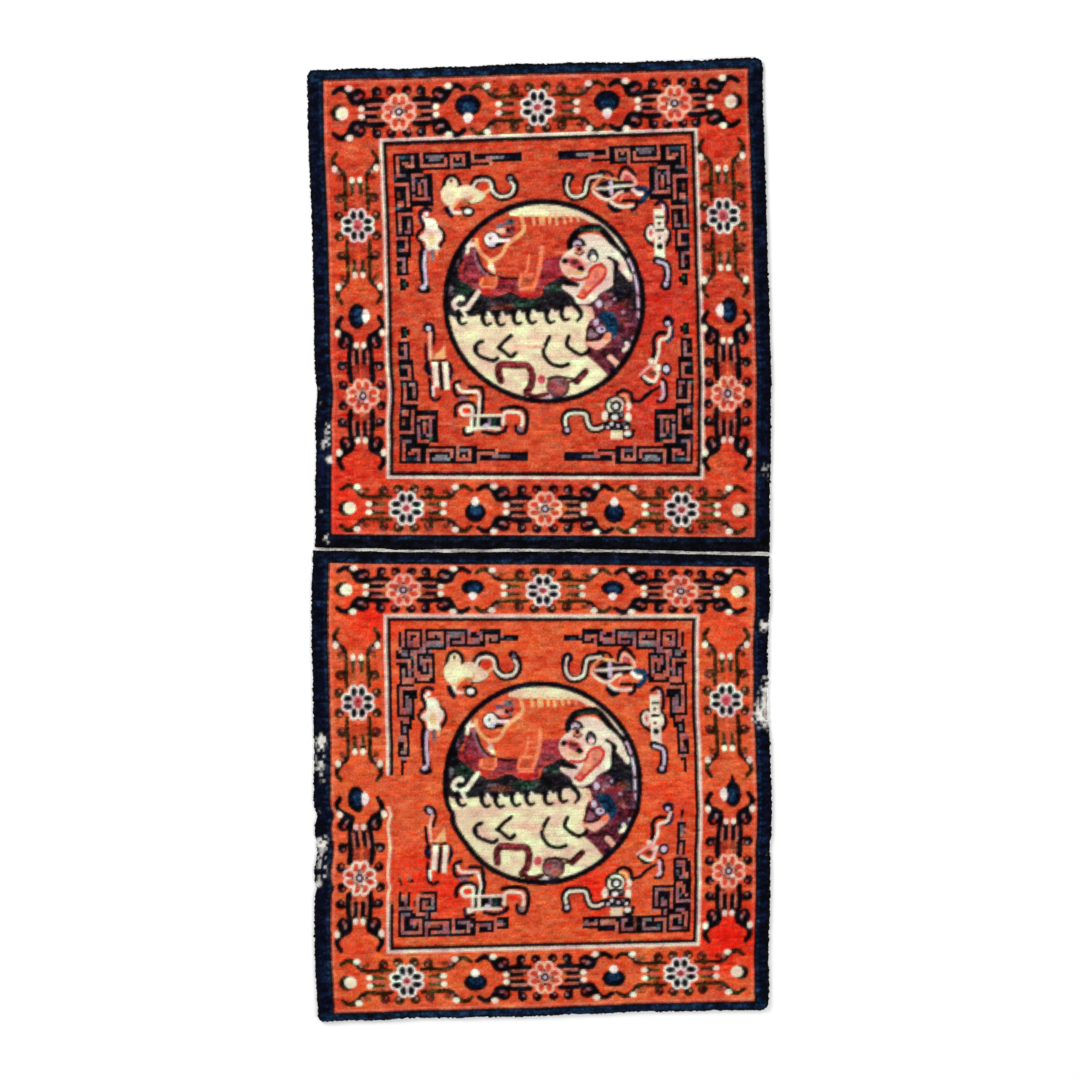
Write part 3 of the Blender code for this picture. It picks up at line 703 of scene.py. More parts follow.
def dark_ground(fig):
    """The dark ground behind the lion-dog, shading to wine and plum, flecked with odd lengths of yarn."""
    fig.patch("dark", (-33.9, 22.6), (-26.1, 19.2), (-26, 14.8), (-28.5, 10.5), (-27.4, 8), (-24.2, 5.5),
        (-21.8, 3.5), (-17.2, 1.7), (-11.1, 3.3), (-7.4, 1.6), (-1.3, 1.7), (0.2, 5.1), (3.7, 7.2),
        (6.7, 8.3), (12.5, 6), (23.3, 6.8), (35.6, 8), (35.2, -7.1), (20.5, -9.3), (8.3, -6.7),
        (-8.8, -7.2), (-21.1, -7), (-35.8, -6.8))
    fig.patch("wine", (-25.9, 17), (-22.7, 18.2), (-21.6, 14.5), (-20.2, 11.5), (-17.3, 9.3), (-13.4, 8),
        (-7.5, 7.9), (-1.6, 8.2), (-0.1, 12.3), (0.5, 14), (6.1, 14.6), (6, 11), (7, 8.8), (5.2, 7.6),
        (1.7, 6.5), (-1.3, 4.1), (-1.8, 1.7), (-7.4, 1.6), (-11.1, 3.6), (-17.2, 2), (-22.3, 4), (-27.4, 8),
        (-28.3, 10.2), (-26.5, 11.7))
    fig.patch("plum", (23.5, 3.9), (30.6, 5), (35.3, -1.6), (35.2, -7.1), (33.8, -16.7), (22.6, -27.4),
        (20.2, -22.5), (15.4, -16.5), (14.7, -6.8), (16.2, -2.5), (17.3, 1.1))
    fig.patch("dark", (21, 14), (24.4, 17.6), (27.4, 15), (30.4, 9.6), (31.8, 3.4), (32.2, -4), (26, -1),
        (21, 2))
    fig.ball("rose", 2.2, 9.6, 2.2, 1.4, share=0.4)
    for fleck in FLECKS:
        fig.ball(*fleck, share=0.6)


def pale_ground(fig):
    """The cream ground under the lion-dog's feet."""
    fig.patch("cream", (-36.7, -3.4), (-30.1, -4.7), (-24.5, -4.7), (-21, -4.2), (-16.6, -4.8),
        (-12.2, -4.4), (-9.3, -3.7), (-4.4, -3.9), (-1.4, -3.7), (1.5, -4), (5.7, -2.8), (8.4, -1.9),
        (12.3, -1.6), (15.5, -2.3), (16.2, -4.9), (14.6, -7.3), (13.6, -10.4), (13.5, -14), (14.9, -16.5),
        (16.8, -19.4), (20.2, -22.8), (22.6, -25.2), (20.1, -35.8), (-1.9, -39.3), (-16.6, -35.6),
        (-38.5, -20.8))


def mane(fig):
    """The cream mane along the roundel's top, parted by short peach lines, and the lilac rim beside it,
    broken by plum."""
    fig.patch("cream", (-10.9, 29.1), (-7.2, 28.3), (-3.1, 28.2), (-0.6, 28.1), (4.3, 27.7), (9.2, 27.8),
        (13.1, 27.2), (16.5, 25.5), (20.4, 24.9), (22.3, 22.2), (24.6, 19.3), (26.3, 16.8), (27.9, 14.4),
        (30.7, 17.7), (26.3, 27.4), (14.2, 33.7), (1.2, 34.1), (-7.9, 32.7))
    for column, head, foot_column, foot in (
        (-3.1, 28.4, -2.7, 25.7), (-0.6, 28.3, -0.4, 25.7), (0.4, 28.3, 0.4, 25.6), (2.6, 28.2, 2.6, 25.8),
        (4.6, 28.2, 4.9, 25.5), (7.2, 28.1, 7.6, 25.9), (9.4, 28.1, 9.7, 26.4),
    ):
        fig.line("peach", 1, (column, head), (foot_column, foot))
    fig.line("peach", 0.9, (11.6, 27.8), (12.1, 26.3))
    fig.line("ivory", 1, (19.6, 25.4), (23.4, 21.8), (26.6, 17), (27.9, 14.4))
    fig.line("lilac", 0.8, (27.7, 14.6), (29.4, 11.5), (30.5, 7.6), (31.2, 3.3), (31.3, -0.3), (31.3, -1.3),
        (31.4, -5.6))
    fig.balls(("plum", 30.2, 8.8, 0.6), ("plum", 31.3, 1.6, 0.6), ("plum", 31.4, -3.2, 0.6))
    fig.ball("navy", 22.6, -19, 1.8, 2.4, share=0.7)
    fig.balls(("teal", 27, -13.4, 1.6, 1.2), ("brown", 21, -14.2, 1.8, 1), share=0.6)


def rump(fig):
    """The rump's peach outline, the round tail with its white eye, and the tufts above it."""
    fig.line("peach", 1.25, (-7, 28.5), (-6.3, 25.8), (-6.1, 23.9), (-8.1, 21.7), (-10.6, 20.1),
        (-12.4, 18.2), (-13.7, 15.8), (-15.7, 14.4), (-17.4, 13.9))
    fig.line("peach", 1.3, (-22.1, 20.9), (-21.7, 18.4), (-20.1, 15.9), (-18.1, 14.2), (-17.2, 12.5),
        (-16.5, 10))
    fig.patch("ivory", (-18.6, 11.8), (-17.3, 13), (-16.4, 11.7), (-16.2, 10), (-17.6, 10.6), share=0.8)
    fig.line("ivory", 1.3, (-26.5, 19.3), (-23.2, 19.3))
    fig.line("ivory", 1.1, (-24.2, 21.2), (-25.2, 16.8))
    fig.balls(("black", -16.8, 20.7, 3, 3), ("white", -17.1, 20.9, 2.2, 2.3),
        ("lilac", -16.5, 19.3, 1, 0.8))
    fig.line("white", 1.2, (-15.8, 20.6), (-11.4, 20.5))
    fig.line("black", 1.4, (-15.3, 19), (-13.4, 19.2))
    fig.balls(("black", -17.5, 21.2, 0.5, 0.5), ("grey", -10.8, 26.4, 1.8, 1.2),
        ("green", -10.5, 26.7, 0.8, 0.5), ("grey", -13.9, 25.3, 1.5, 0.9), ("pink", -13.5, 23.6, 1.9, 0.9),
        ("black", -11.5, 23.8, 0.9, 0.8), ("maroon", -9.9, 24.4, 0.8, 0.8), ("grey", -10.2, 22.9, 0.8, 0.6))
    fig.line("black", 0.8, (-15, 22.4), (-13.1, 21.4), (-9.9, 22))


def legs(fig):
    """The belly's dark line, the legs with their salmon outlines, and the curled ivory claw."""
    fig.line("mauve", 1.3, (-22.7, 17.5), (-22.1, 14.3), (-20.7, 11.1), (-18.5, 9.3))
    fig.line("black", 0.9, (-22, 16.5), (-21.1, 13.5), (-19.2, 10.5), (-16.3, 8.8), (-13.4, 8), (-7.8, 7.6))
    fig.line("salmon", 1.3, (-0.4, 17.7), (-0.8, 13.6), (-1.9, 8.7), (-3.2, 5.1))
    fig.line("salmon", 0.8, (-4.6, 15.3), (-5.1, 11.7), (-6, 9.1))
    fig.patch("orange", (-7.5, 9.1), (-3.3, 8.8), (-3.7, 4.6), (-8.1, 5), share=0.6)
    fig.line("salmon", 0.9, (-7.3, 8.8), (-3.6, 8.8))
    fig.line("salmon", 0.9, (-7.3, 8.8), (-8, 5), (-3.7, 4.6))
    fig.ball("brown", -5.5, 6.7, 0.9, 1.2, share=0.4)
    fig.ball("crimson red", -5.4, 3, 3, 1.3)
    fig.line("salmon", 0.8, (-7.9, 4.2), (-3.2, 3.9))
    fig.patch("orange", (-20.7, 8.4), (-15.8, 8.3), (-16.2, 4.9), (-21.1, 5.5), share=0.7)
    fig.line("salmon", 0.9, (-20.3, 7.6), (-21, 5.7), (-17.4, 4.8), (-15.9, 6), (-15.7, 8.3))
    fig.ball("crimson red", -19.1, 3.7, 2.2, 1.2)
    fig.line("ivory", 1.5, (-21.8, 3.5), (-23.4, 1.4), (-25.6, -1.5), (-26.9, -2), (-28.3, -2.3),
        (-29.8, -1.3), (-30, 0.2), (-28.3, 1.7), (-27.3, 1.4))


def face(fig):
    """The lion-dog's dark hair, its bone-white face and ear, its eyes, muzzle and open coral mouth."""
    fig.line("black", 2.5, (9.1, 17.9), (9.7, 20.3), (11.5, 22.5), (14, 23.6), (16.9, 23.9), (19.3, 23.5),
        (21.5, 21.3), (23.6, 18.3), (25.5, 16.1), (27.4, 14.2))
    fig.line("green", 0.9, (13, 23.1), (16.2, 23.3), (19.6, 23.2))
    fig.patch("bone", (10.7, 19.6), (13.4, 21.5), (16.9, 21.8), (19.8, 20.8), (21.9, 18.4), (23.1, 15.5),
        (23.1, 13), (23.5, 10.6), (23.4, 6.3), (22.3, 4.4), (18.8, 2.5), (16.8, 0.2), (13.8, -1.2),
        (10.9, -0.7), (9.7, 1.5), (7.1, 3.7), (7.3, 4.9), (10.3, 4.9), (11, 6.3), (9.1, 7.3), (7, 9),
        (5.8, 11.5), (6.1, 13.9), (7.9, 16), (9.9, 17.2))
    fig.patch("bone", (19.8, 20.6), (22.6, 18.1), (25.5, 15.4), (27.2, 13), (29, 9.6), (29.6, 6.9),
        (28.6, 6.2), (27, 8.2), (25.4, 10.1), (24.7, 11.8), (22.5, 14), (20.6, 16.5))
    fig.line("black", 1.2, (22, 14), (24.9, 12), (23.9, 9.7), (23.7, 5.8))
    fig.line("black", 1, (28.3, 12), (29.2, 9.1))
    fig.line("black", 1.1, (8.8, 17.4), (9.4, 19.2), (11.2, 20.4), (13.2, 19.8), (14, 18.4))
    fig.patch("navy", (10, 18.2), (10.9, 19.8), (12.9, 19.5), (13.8, 18.1), (12.6, 17.6), (10.9, 17.6))
    fig.line("lilac", 0.9, (10.6, 18.6), (11.6, 19.2), (12.6, 18.8))
    fig.balls(("coral", 12, 16.7, 1.5, 1.1), ("black", 12.2, 16.9, 0.85, 0.8))
    fig.line("brown", 0.9, (10.9, 15.6), (12.3, 15.1), (13.6, 15.9))
    fig.patch("black", (14.7, 14.4), (15.4, 16.4), (16.7, 17.3), (18.3, 16), (18.6, 14), (17.6, 12.6),
        (15.8, 12.8))
    fig.balls(("grey", 16.5, 15.4, 0.8, 0.7), ("white", 16.8, 13.9, 1, 1), ("pink", 16.6, 13.2, 0.6, 0.6))
    fig.patch("pink", (5.9, 12.6), (7.6, 14.6), (10.8, 15), (13.6, 13.2), (14.8, 11), (13.2, 8.8),
        (9.9, 7.9), (7.2, 9.2))
    fig.patch("rose", (8, 13.6), (10.2, 14.2), (12.6, 13), (13.4, 11.2), (11.6, 10.6), (9.4, 11.4))
    fig.balls(("brown", 10.6, 12.8, 1.6, 0.9), ("black", 7.4, 13.2, 1.15, 1), ("black", 12.6, 10.6, 1.3, 1))
    fig.line("yellow", 0.9, (9.8, 9.4), (11.8, 9.3), (13.2, 9))
    fig.patch("coral", (19.2, 11.6), (20.7, 10.5), (20.8, 8.5), (19, 6.2), (16.9, 4.6), (14.9, 2.8),
        (13.4, 0.9), (11.8, 0.9), (11, 2.2), (13.2, 4.9), (14.3, 7.2), (15.4, 9.3), (17.2, 11.2))
    fig.line("crimson red", 1.1, (19.5, 11.8), (17.4, 11.4), (15.6, 9.9), (14.6, 7.8), (12, 6.9),
        (9.6, 7.4))
    fig.line("crimson red", 1.1, (19.6, 11.8), (20.9, 9.9), (19.8, 7.1), (17.1, 4.7), (14.6, 2.4),
        (12.9, 0.8), (11.2, 1.6))
    fig.line("ivory", 0.8, (9.4, 8.4), (12.2, 8), (14.4, 8.8))
    fig.ball("crimson red", 13.2, 2.7, 1, 1, share=0.7)
    fig.ball("crimson", 17.6, 8.6, 0.9, 1.3, share=0.4)
    fig.line("black", 1.3, (7.1, 6.3), (9.2, 5.4), (11.3, 5.2))
    fig.line("ivory", 1.2, (6.6, 4.6), (8.6, 3.4), (10.9, 2.9))


def cub(fig):
    """The blue cub at the right, with its pink and lilac face, and the striped yarns under it."""
    fig.patch("teal", (18.1, -4.4), (21.2, -3.5), (23.4, -4.8), (24.6, -7.8), (24.3, -10.8), (21.9, -13),
        (20.3, -10), (19.5, -7.4), (18.3, -6.2))
    fig.line("navy", 0.9, (21.6, -5), (22.4, -8.4), (21.8, -11.4), share=0.5)
    fig.line("black", 1, (14, -12.6), (14.7, -8.5), (17, -10), (19.4, -11.8), (17, -12.8), (14, -12.6))
    fig.patch("mauve", (14.5, -12.1), (15.1, -9.2), (17.5, -11.2), (15.5, -12.4))
    fig.balls(("black", 18.8, -9.8, 2, 1.6), ("lilac", 18.8, -9.5, 1.5, 1.1),
        ("black", 19.1, -9.3, 0.5, 0.5), ("lilac", 17.2, -7.1, 0.9, 1.1))
    fig.patch("pink", (13.5, -13.8), (17.9, -13.2), (19.9, -11.7), (21.2, -10.5), (22.1, -11.5),
        (21.6, -13.2), (19.4, -15.1), (17.2, -16.1), (15.2, -15.1))
    fig.ball("salmon", 20.8, -12, 1.3, 1.2)
    fig.line("plum", 3.2, (15.2, -17.2), (19.3, -20.8), (22.6, -24.7))
    fig.line("navy", 1.6, (21.7, -22.5), (24.5, -25.2))
    fig.line("pink", 1.8, (21.6, -18.7), (23.2, -20.2), (24.9, -22.1))
    fig.line("teal", 2.2, (25.6, -21.4), (28.4, -18.5))
    fig.line("ivory", 1.2, (26.2, -16.3), (30.2, -14.2))
    fig.line("ivory", 1.3, (27.2, -14.2), (28.6, -17.6))
    fig.line("pink", 1.4, (15.2, -2.7), (15.9, -5.4))
    fig.balls(("lilac", 18.2, -1.1, 1, 1.2), ("mauve", 21.4, -1.1, 1.4, 1), ("plum", 25, -5.3, 1.2, 1.2))


def curls(fig):
    """The dark hooks that hang from the lion-dog's body into the cream ground, and the curls below them."""
    hooks = ((-27.8, -3.6), (-19.6, -4), (-15, -4.2), (-9.4, -3.8), (-4.6, -3.6), (1.6, -3.6),
             (6.6, -2.8))
    for x, y in hooks:
        bent = ((x - 0.9, y + 0.6), (x - 0.9, y - 1.8), (x + 0.1, y - 3.4), (x + 1.7, y - 3.0))
        fig.line("black", (2, 1.7, 1.4, 1), *bent)
        fig.line("ivory", 1, (x + 0.9, y + 0.4), (x + 1.6, y - 0.8))
    fig.line("black", (2, 1.8, 1.4, 1), (10.2, -1.4), (12, -3.6), (12, -5.2), (10.8, -6.6))
    fig.line("black", 1.5, (-20.8, -12.9), (-22.4, -13.6), (-23.4, -15.5), (-22.3, -17.3), (-20.1, -18.5),
        (-17.4, -19.3), (-15.9, -18.5))
    fig.line("navy", 1.6, (-23.1, -14.6), (-22.8, -15.8))
    fig.line("black", 1.5, (-11.2, -11.1), (-13.4, -13), (-15.4, -15))
    fig.line("black", 1.5, (-15.4, -15), (-13.4, -16.6), (-11.5, -18.1), (-9.8, -16.9))
    fig.line("black", 1.5, (1.6, -11.7), (0.4, -13.9), (-0.5, -16), (-0.1, -18.2), (2.1, -20.7),
        (5.3, -21.4), (7.6, -20.7))
    fig.line("black", 1.5, (8, -11.5), (7.3, -14), (8.1, -15.4), (11.5, -17.6), (14, -16.9), (14.7, -15.7))
    fig.line("pink", 0.8, (-10.2, -14.7), (-0.7, -14.8))


def foot_ornaments(fig):
    """The ornaments at the roundel's foot, in maroon, wine and teal, round a brown ball."""
    fig.line("maroon", 2.6, (-15.3, -25.9), (-15.8, -22.7), (-14.5, -20.7), (-9.1, -21), (-6.2, -21.2),
        (-4.8, -23.5), (-5.1, -27.1), (-6.8, -29.8))
    fig.line("wine", 0.9, (-14, -20.6), (-10.3, -20.5), (-6.7, -20.6))
    fig.ball("rose", -1.6, -25.7, 1.3, 1.6)
    fig.line("maroon", 1.8, (-7, -29.3), (-4.3, -31.3), (-0.2, -30.6))
    fig.ball("brown", 3.7, -28, 4, 3.7)
    fig.ball("mauve", 3.7, -28.2, 3.1, 2.8, share=0.6)
    fig.ball("navy", 5.6, -26.8, 1.2, 0.9, share=0.5)
    fig.balls(("wine", 2, -27.2, 1, 0.9), ("rosewood", 4.4, -29.2, 1.6, 1.2))
    fig.line("black", 0.9, (0.6, -25.5), (3, -24.8), (6.4, -25.1), (9.6, -25.8))
    fig.line("maroon", 1, (7.4, -26.5), (9.9, -26.3))
    fig.line("maroon", 2.2, (10, -26.5), (13.3, -23.2))
    fig.line("black", 0.9, (9.6, -25.6), (12.6, -22.8))
    fig.line("teal", 1.3, (2.3, -32), (6.2, -32.1))
    fig.ball("lilac", 0.6, -31.7, 1, 0.7)


def lion(fig):
    """The lion-dog: its grounds first, and then its parts in the order in which they cover each other."""
    for draw in (dark_ground, pale_ground, mane, rump, legs, face, cub, curls, foot_ornaments):
        draw(fig)


def roundel(fig):
    """The lion-dog inside a circle, and a black ring round it.

    What lies outside the circle goes back to what the chart showed before.
    """
    before = fig.chart.copy()
    lion(fig)
    where, here = fig.cells((-ROUNDEL_REACH, -ROUNDEL_REACH), (ROUNDEL_REACH, ROUNDEL_REACH))
    far = np.hypot(here[..., 0], here[..., 1])
    inside = np.clip(0.5 + (ROUNDEL_RADIUS - far) / CELL, 0, 1)[..., None]
    fig.chart[where] = before[where] + inside * (fig.chart[where] - before[where])
    turn = np.radians(np.linspace(0, 360, RING_STEPS + 1))
    ring = np.stack([np.cos(turn), np.sin(turn)], -1)
    fig.line("black", 2.0, *(RING_RADIUS * ring), smooth=False)
    # Painted highlight: a thin navy glint just inside the ring at its head
    fig.line("navy", 0.8, *(GLINT_RADIUS * ring[GLINT_STEPS]), smooth=False, share=0.7)


# Each square in knots. red and guard are the rectangles (left, foot, right, head) of the red border and of
# the guard line, lines how far in its ivory reaches and its black, and shades what dulls the indigo at the
# foot and at the head. Along the sides stand a white and a pink flower, whose row and distance to their
# buds before and after sides gives, in the two columns of across, with rims as the pink one's rim, and
# between them a ball in row ball, with points as the length of its black point. ends gives the rows of
# flowers at the head and the foot, narrow how far they are pressed together, and balls the stretch of the
# balls between them. The roundel has its middle and its stretch, round.
UPPER = dict(
    rows=UPPER_ROWS, red=(5.6, 4.5, 146.7, 156.1), guard=(23.8, 23.0, 129.7, 137.0), lines=(0.9, 2.4),
    ground="madder", shades=(("black", 0.9), ("steel", 0.5)),
    sides=((108.2, 16.6, 15.2), (50.8, 14.9, 17.0)), across=(15.4, 137.4), rims=("pink", "pink"),
    ball=77.7, points=(0, 0), ends=(145.5, 13.2), narrow=(1.0, 0.94), balls=((1, 1), (0.8, 0.95)),
    middle=(76.9, 81.55), round=(1.0, 1.0),
)
LOWER = dict(
    rows=LOWER_ROWS, red=(5.9, 3.2, 146.8, 148.9), guard=(24.2, 21.9, 128.8, 132.7), lines=(0.95, 2.3),
    ground="orange madder", shades=(("steel", 0.6), ("black", 0.3)),
    sides=((104.0, 16.0, 14.6), (46.7, 14.0, 16.6)), across=(15.1, 138.0), rims=("blush", "pink"),
    ball=72.5, points=(0, 2.4), ends=(140.6, 12.8), narrow=(0.88, 0.9), balls=((0.88, 0.78), (0.9, 0.85)),
    middle=(76.0, 76.9), round=(0.982, 1.0),
)
# Where a batch of red was brighter or duller: dye, column, row, reach in knots, and strength
UPPER["batches"] = (
    ("scarlet", 10, 24, 13, 0.55), ("scarlet", 8, 10, 9, 0.6), ("scarlet", 138, 135, 9, 0.4),
    ("crimson red", 115, 84, 17, 0.8), ("crimson red", 112, 46, 11, 0.8), ("orange madder", 53, 14, 9, 0.8),
    ("orange madder", 99, 14, 9, 0.8), ("orange madder", 76, 36, 11, 0.6), ("crimson red", 12, 62, 12, 0.6),
    ("orange madder", 60, 118, 12, 0.4), ("orange madder", 15, 90, 14, 0.5), ("scarlet", 142, 22, 9, 0.4),
    ("orange madder", 51, 19, 5, 0.7), ("orange madder", 135, 27, 8, 0.5),
    ("orange madder", 101, 19, 5, 0.7),
)
LOWER["batches"] = (
    ("scarlet", 20, 132, 9, 0.9), ("scarlet", 138, 24, 13, 1.0), ("scarlet", 93, 42, 10, 0.9),
    ("scarlet", 33, 47, 10, 0.7), ("scarlet", 46, 41, 7, 0.8), ("scarlet", 12, 22, 8, 0.4),
    ("scarlet", 118, 72, 9, 0.4), ("scarlet", 138, 130, 7, 0.4), ("crimson red", 110, 140, 14, 0.5),
    ("crimson red", 132, 58, 12, 0.4), ("crimson red", 54, 140, 9, 0.4),
)
# The mended stretch of the lower square's left guard line: the rows where it starts, and where its soiled
# ivory, its brick trace and the stretch itself end
LOWER["mended"] = (38, 70, 75, 80)
UPPER["mended"] = ()

# The key fret's corners, one letter to a knot, from the outer corner at the upper left inward
UPPER_FRET = """
KKKKKKKKKrKKKKKKKKKKKKKKKKr
KrttttmKKrKggggggKKrrrrrKKrKKKKnKKKKKKKKKKK
KrKKKKmKKrKnggggnrKrKrKrKKrKKKKmmggggnnnnnK
KrKrrorKKrKKKKKKKrKrKKKrKKrrrrrrrKKKKKKKKKK
KrKKrccKKrrrrrrrrrKrgggrKKKKKKKKc
KrKKKKKKKKKKKKKKKKKrKKKKKK
KrKKKKKKKK.........r
trggKKrrrreKK
tKKKKKmKKKeKK
KKKKKKmtKmmKK
rrrrrKmKmKmKK
KKKKrKmKrKmKK
KnKKrKmKromKK
KoKKrKnKromKK
KoKKrKmKeKmKK
KnKKrKrrrrrmK
KrrKrKKKKKKKK
tcrKrKKKKKKKK
ttKKKK
KKKKKK
Krrrrr
KrKKKK
KrKKoK
KrKKmK
KrKKmK
KrKKoK
egKmmK
KKKKKK
rrrrK
KnKrK
KnKrK
KnKrK
egrrK
KKKKK
KKKKK
rmmK
KKmK
KKmK
KomK
KKmK
KKKK
.rr
.KK
.KeK
.KeK
.KK
"""
LOWER_FRET = """
...KKKKKKrKKKKKKKKKKKKKKm...KKKKKKK
.KrKrrrrKrKrrrrrKggggggKmKKmmKnnnnK
.KrKrKKrKrKrrKmrKrggrgrKmKKKmKrrrrKmKKKKK
.KrKmKcrKrKKKKKrKmKKKKrKrrmmrKrKrmKnKttKK
.KrKmmrrKmmmmmmrKmKmmmmKrmmmKKrKKKK
.KrKmmrrKmmgggggKmKKKKKKKKKKKKr
.rKKKKKKmmKKKKKKK
KrggKmcrmmKm
KKggKrmKKKKKK
KKnnKtrKmKgmK
crrrcKrKmrrrK
KKKKrKgKmrKrK
.KKKrKrKKmKrK
.KmKmmrKKmKmK
.KmKmKrrKKKmK
.KmKgKrrrrrrK
.KrrrrKrrrrKK
.KcccrKKKKKKK
KKKKKK
Krrrrrr
KrKKKKK
KrKKKKK
KrKgKKK
KrKgmK
KrKgmK
KrKgmK
KrmmgK
KrrrgK
KKKKKK
rrrrKK
.KrrK
.KKKK
.KgKK
.KgK
.KKK
rmrK
mrrK
KKrK
KKcK
KomK
KmmK
KKKK
.mm
.KK
.K
.K
.K
.K
"""
LEFT_FOOT_FRET = """
KKKKKKKKKmKeKKKKtKKKKKKKKK
KmmmrrrrKmKccmmmrtcmmrocKKrKKnKK
KrKKKKKrKmKKKKKmmKcKKKKmKKrKKKmKcKKKK
KrKKngKrKmroooKrmKrKnKKmmnrmmmgKrccgn
KrKKmcorKmmrrrrrrKrKgmmmnKKKKKKKrggnK
KrKKmrrrKKnKKKKKKKrKKKKKKK......rKKKK
KrKKKKKKKgK
KgggnKccrmKcc
KKKKK.cKntnKK
mmgmr.cKrrggK
KKoK.ocKroKgK
KKmK.ocKmoKmK
KcmK..cKKKKmK
KccK..crrrrrK
K..K...oKKKKK
...
...
o
o..oK
o..m
"""
RIGHT_FOOT_FRET = """
KKKKKKKKrKKKnnnKKKKKKKKK
KoommmrKrKgmmmmmKKommmrKcKKnKKK
KrKKKKrKrKtKKKKmKKoKKKrKcKnnKKKKKKKK
KrKgKKmKrKKKKKKmKKoKnKmnrrrrrrKrrrmm
KrKmKKrKrrrrKggmKKoKnmmnKrrrrrKgKKmo
KrKrrmrKKKKKKKKKKKoKKKKnKKKKKKKKKKKK
KrrKKKKKmK
KKmmgKKKmKrrr
KnnnKKrKKKKKK
KKKKKKrKmmKmK
mmmmrKrKmmKmK
KKKKmKrKngKmK
KrKtmKrnnKKmK
KKrKmKrKKKKmK
KKrKmKcrrmmmK
KKrrrKKKKKKKK
KKKrrK
KKKKKK
KcgmKK
KcrKtK
KKrKgK
KKrKnK
KKmmgK
KKrrmK
.KKKKK
.rrrr
..nrK
..nrK
..ncK
..nmK
..KKK
...mK
...cK
..ogK
..rgK
..ogK
..KKK
...m
...o
...K
...K
"""
# The dye that each letter stands for
LETTERS = {
    "K": "black", "r": "rosewood", "m": "heather", "n": "navy", "t": "slate", "g": "grey", "o": "brown",
    "c": "clay", "e": "green",
}
# Each corner's fret: its outer corner's column and row, -1 where it is mirrored across and where it is
# turned upside down, and its chart
UPPER["frets"] = (
    (28, 132, 1, 1, UPPER_FRET), (126, 132, -1, 1, UPPER_FRET),
    (28, 28, 1, -1, UPPER_FRET), (126, 28, -1, -1, UPPER_FRET),
)
LOWER["frets"] = (
    (28, 128, 1, 1, LOWER_FRET), (125, 128, -1, 1, LOWER_FRET),
    (28, 27, 1, -1, LEFT_FOOT_FRET), (125.5, 26.5, -1, -1, RIGHT_FOOT_FRET),
)


def fret(fig, chart):
    """One corner of the key fret: every letter of its chart a square of one knot, row under row."""
    for down, row in enumerate(chart.strip().split("\n")):
        for across, letter in enumerate(row):
            if letter != ".":
                fig.box(LETTERS[letter], across, -down - 1, across + 1, -down)


def mend(cloth, square):
    """Knots over the mended stretch of the guard line: the ground's red over its black and, higher up, over
    its ivory, a broken brick trace, and soiled ivory."""
    foot, soiled_head, trace_head, head = square["mended"]
    left = square["guard"][0]
    ivory, both = square["lines"]
    cloth.box(square["ground"], left + ivory, foot, left + both, head)
    cloth.box("brick", left + 1.5, foot, left + 2.3, trace_head, share=0.4)
    cloth.box("peach", left, foot, left + ivory, soiled_head, share=0.45)
    cloth.box(square["ground"], left - 0.5, soiled_head, left + both, head)


def grounds(cloth, square):
    """The plain grounds of a square: indigo with a black line of painted shade round its edges and a black
    line against the red, the red border edged in coral, the ivory and black guard lines and the red field,
    with the batches of red that came out brighter or duller."""
    rows = square["rows"]
    left, foot, right, head = square["red"]
    foot_shade, head_shade = square["shades"]
    cloth.box(foot_shade[0], 0, 0, COLUMNS, foot, share=foot_shade[1])
    cloth.box(head_shade[0], 0, head, COLUMNS, rows, share=head_shade[1])
    cloth.box("steel", left - 1.7, foot - 1.6, right + 1.7, head + 1.7, share=0.5)
    # Painted shade: black lines along the square's four edges, the shade where its pile falls away at the
    # rug's edge and at the bare band
    cloth.box("black", 0, 0, 1, rows)
    cloth.box("black", COLUMNS - 1, 0, COLUMNS, rows)
    cloth.box("black", 0, rows - 1, COLUMNS, rows)
    cloth.box("black", 0, 0, COLUMNS, 0.6)
    cloth.box("black", left - 0.9, foot - 0.9, right + 0.9, head + 0.9)
    cloth.box(square["ground"], left, foot, right, head)
    cloth.box("coral", left, foot, right, head, share=0.4)
    cloth.box(square["ground"], left + 0.9, foot + 0.9, right - 0.9, head - 0.9)
    left, foot, right, head = square["guard"]
    ivory, both = square["lines"]
    cloth.box("blush", left, foot, right, head)
    cloth.box("black", left + ivory, foot + ivory, right - ivory, head - ivory)
    cloth.box(square["ground"], left + both, foot + both, right - both, head - both)
    if square["mended"]:
        mend(cloth, square)
    for batch in square["batches"]:
        cloth.batch(*batch)


# The flowers, balls and corner buds along the head and the foot: their columns, how far off the flowers'
# buds stand, and how large the eyes are there; and how the figures along the sides are stretched
UNIT_COLUMNS = (30.5, 76.8, 122.4)
UNIT_REACH = ((12.4, 12.3), (12.9, 12.9), (12.1, 11.8))
UNIT_EYE = 0.72
BALL_COLUMNS = (53.5, 99.9)
CORNER_COLUMNS = (11.4, 141.4)
SIDE_STRETCH = (1.0, 0.93)
SIDE_BALL_STRETCH = (1, 0.74)


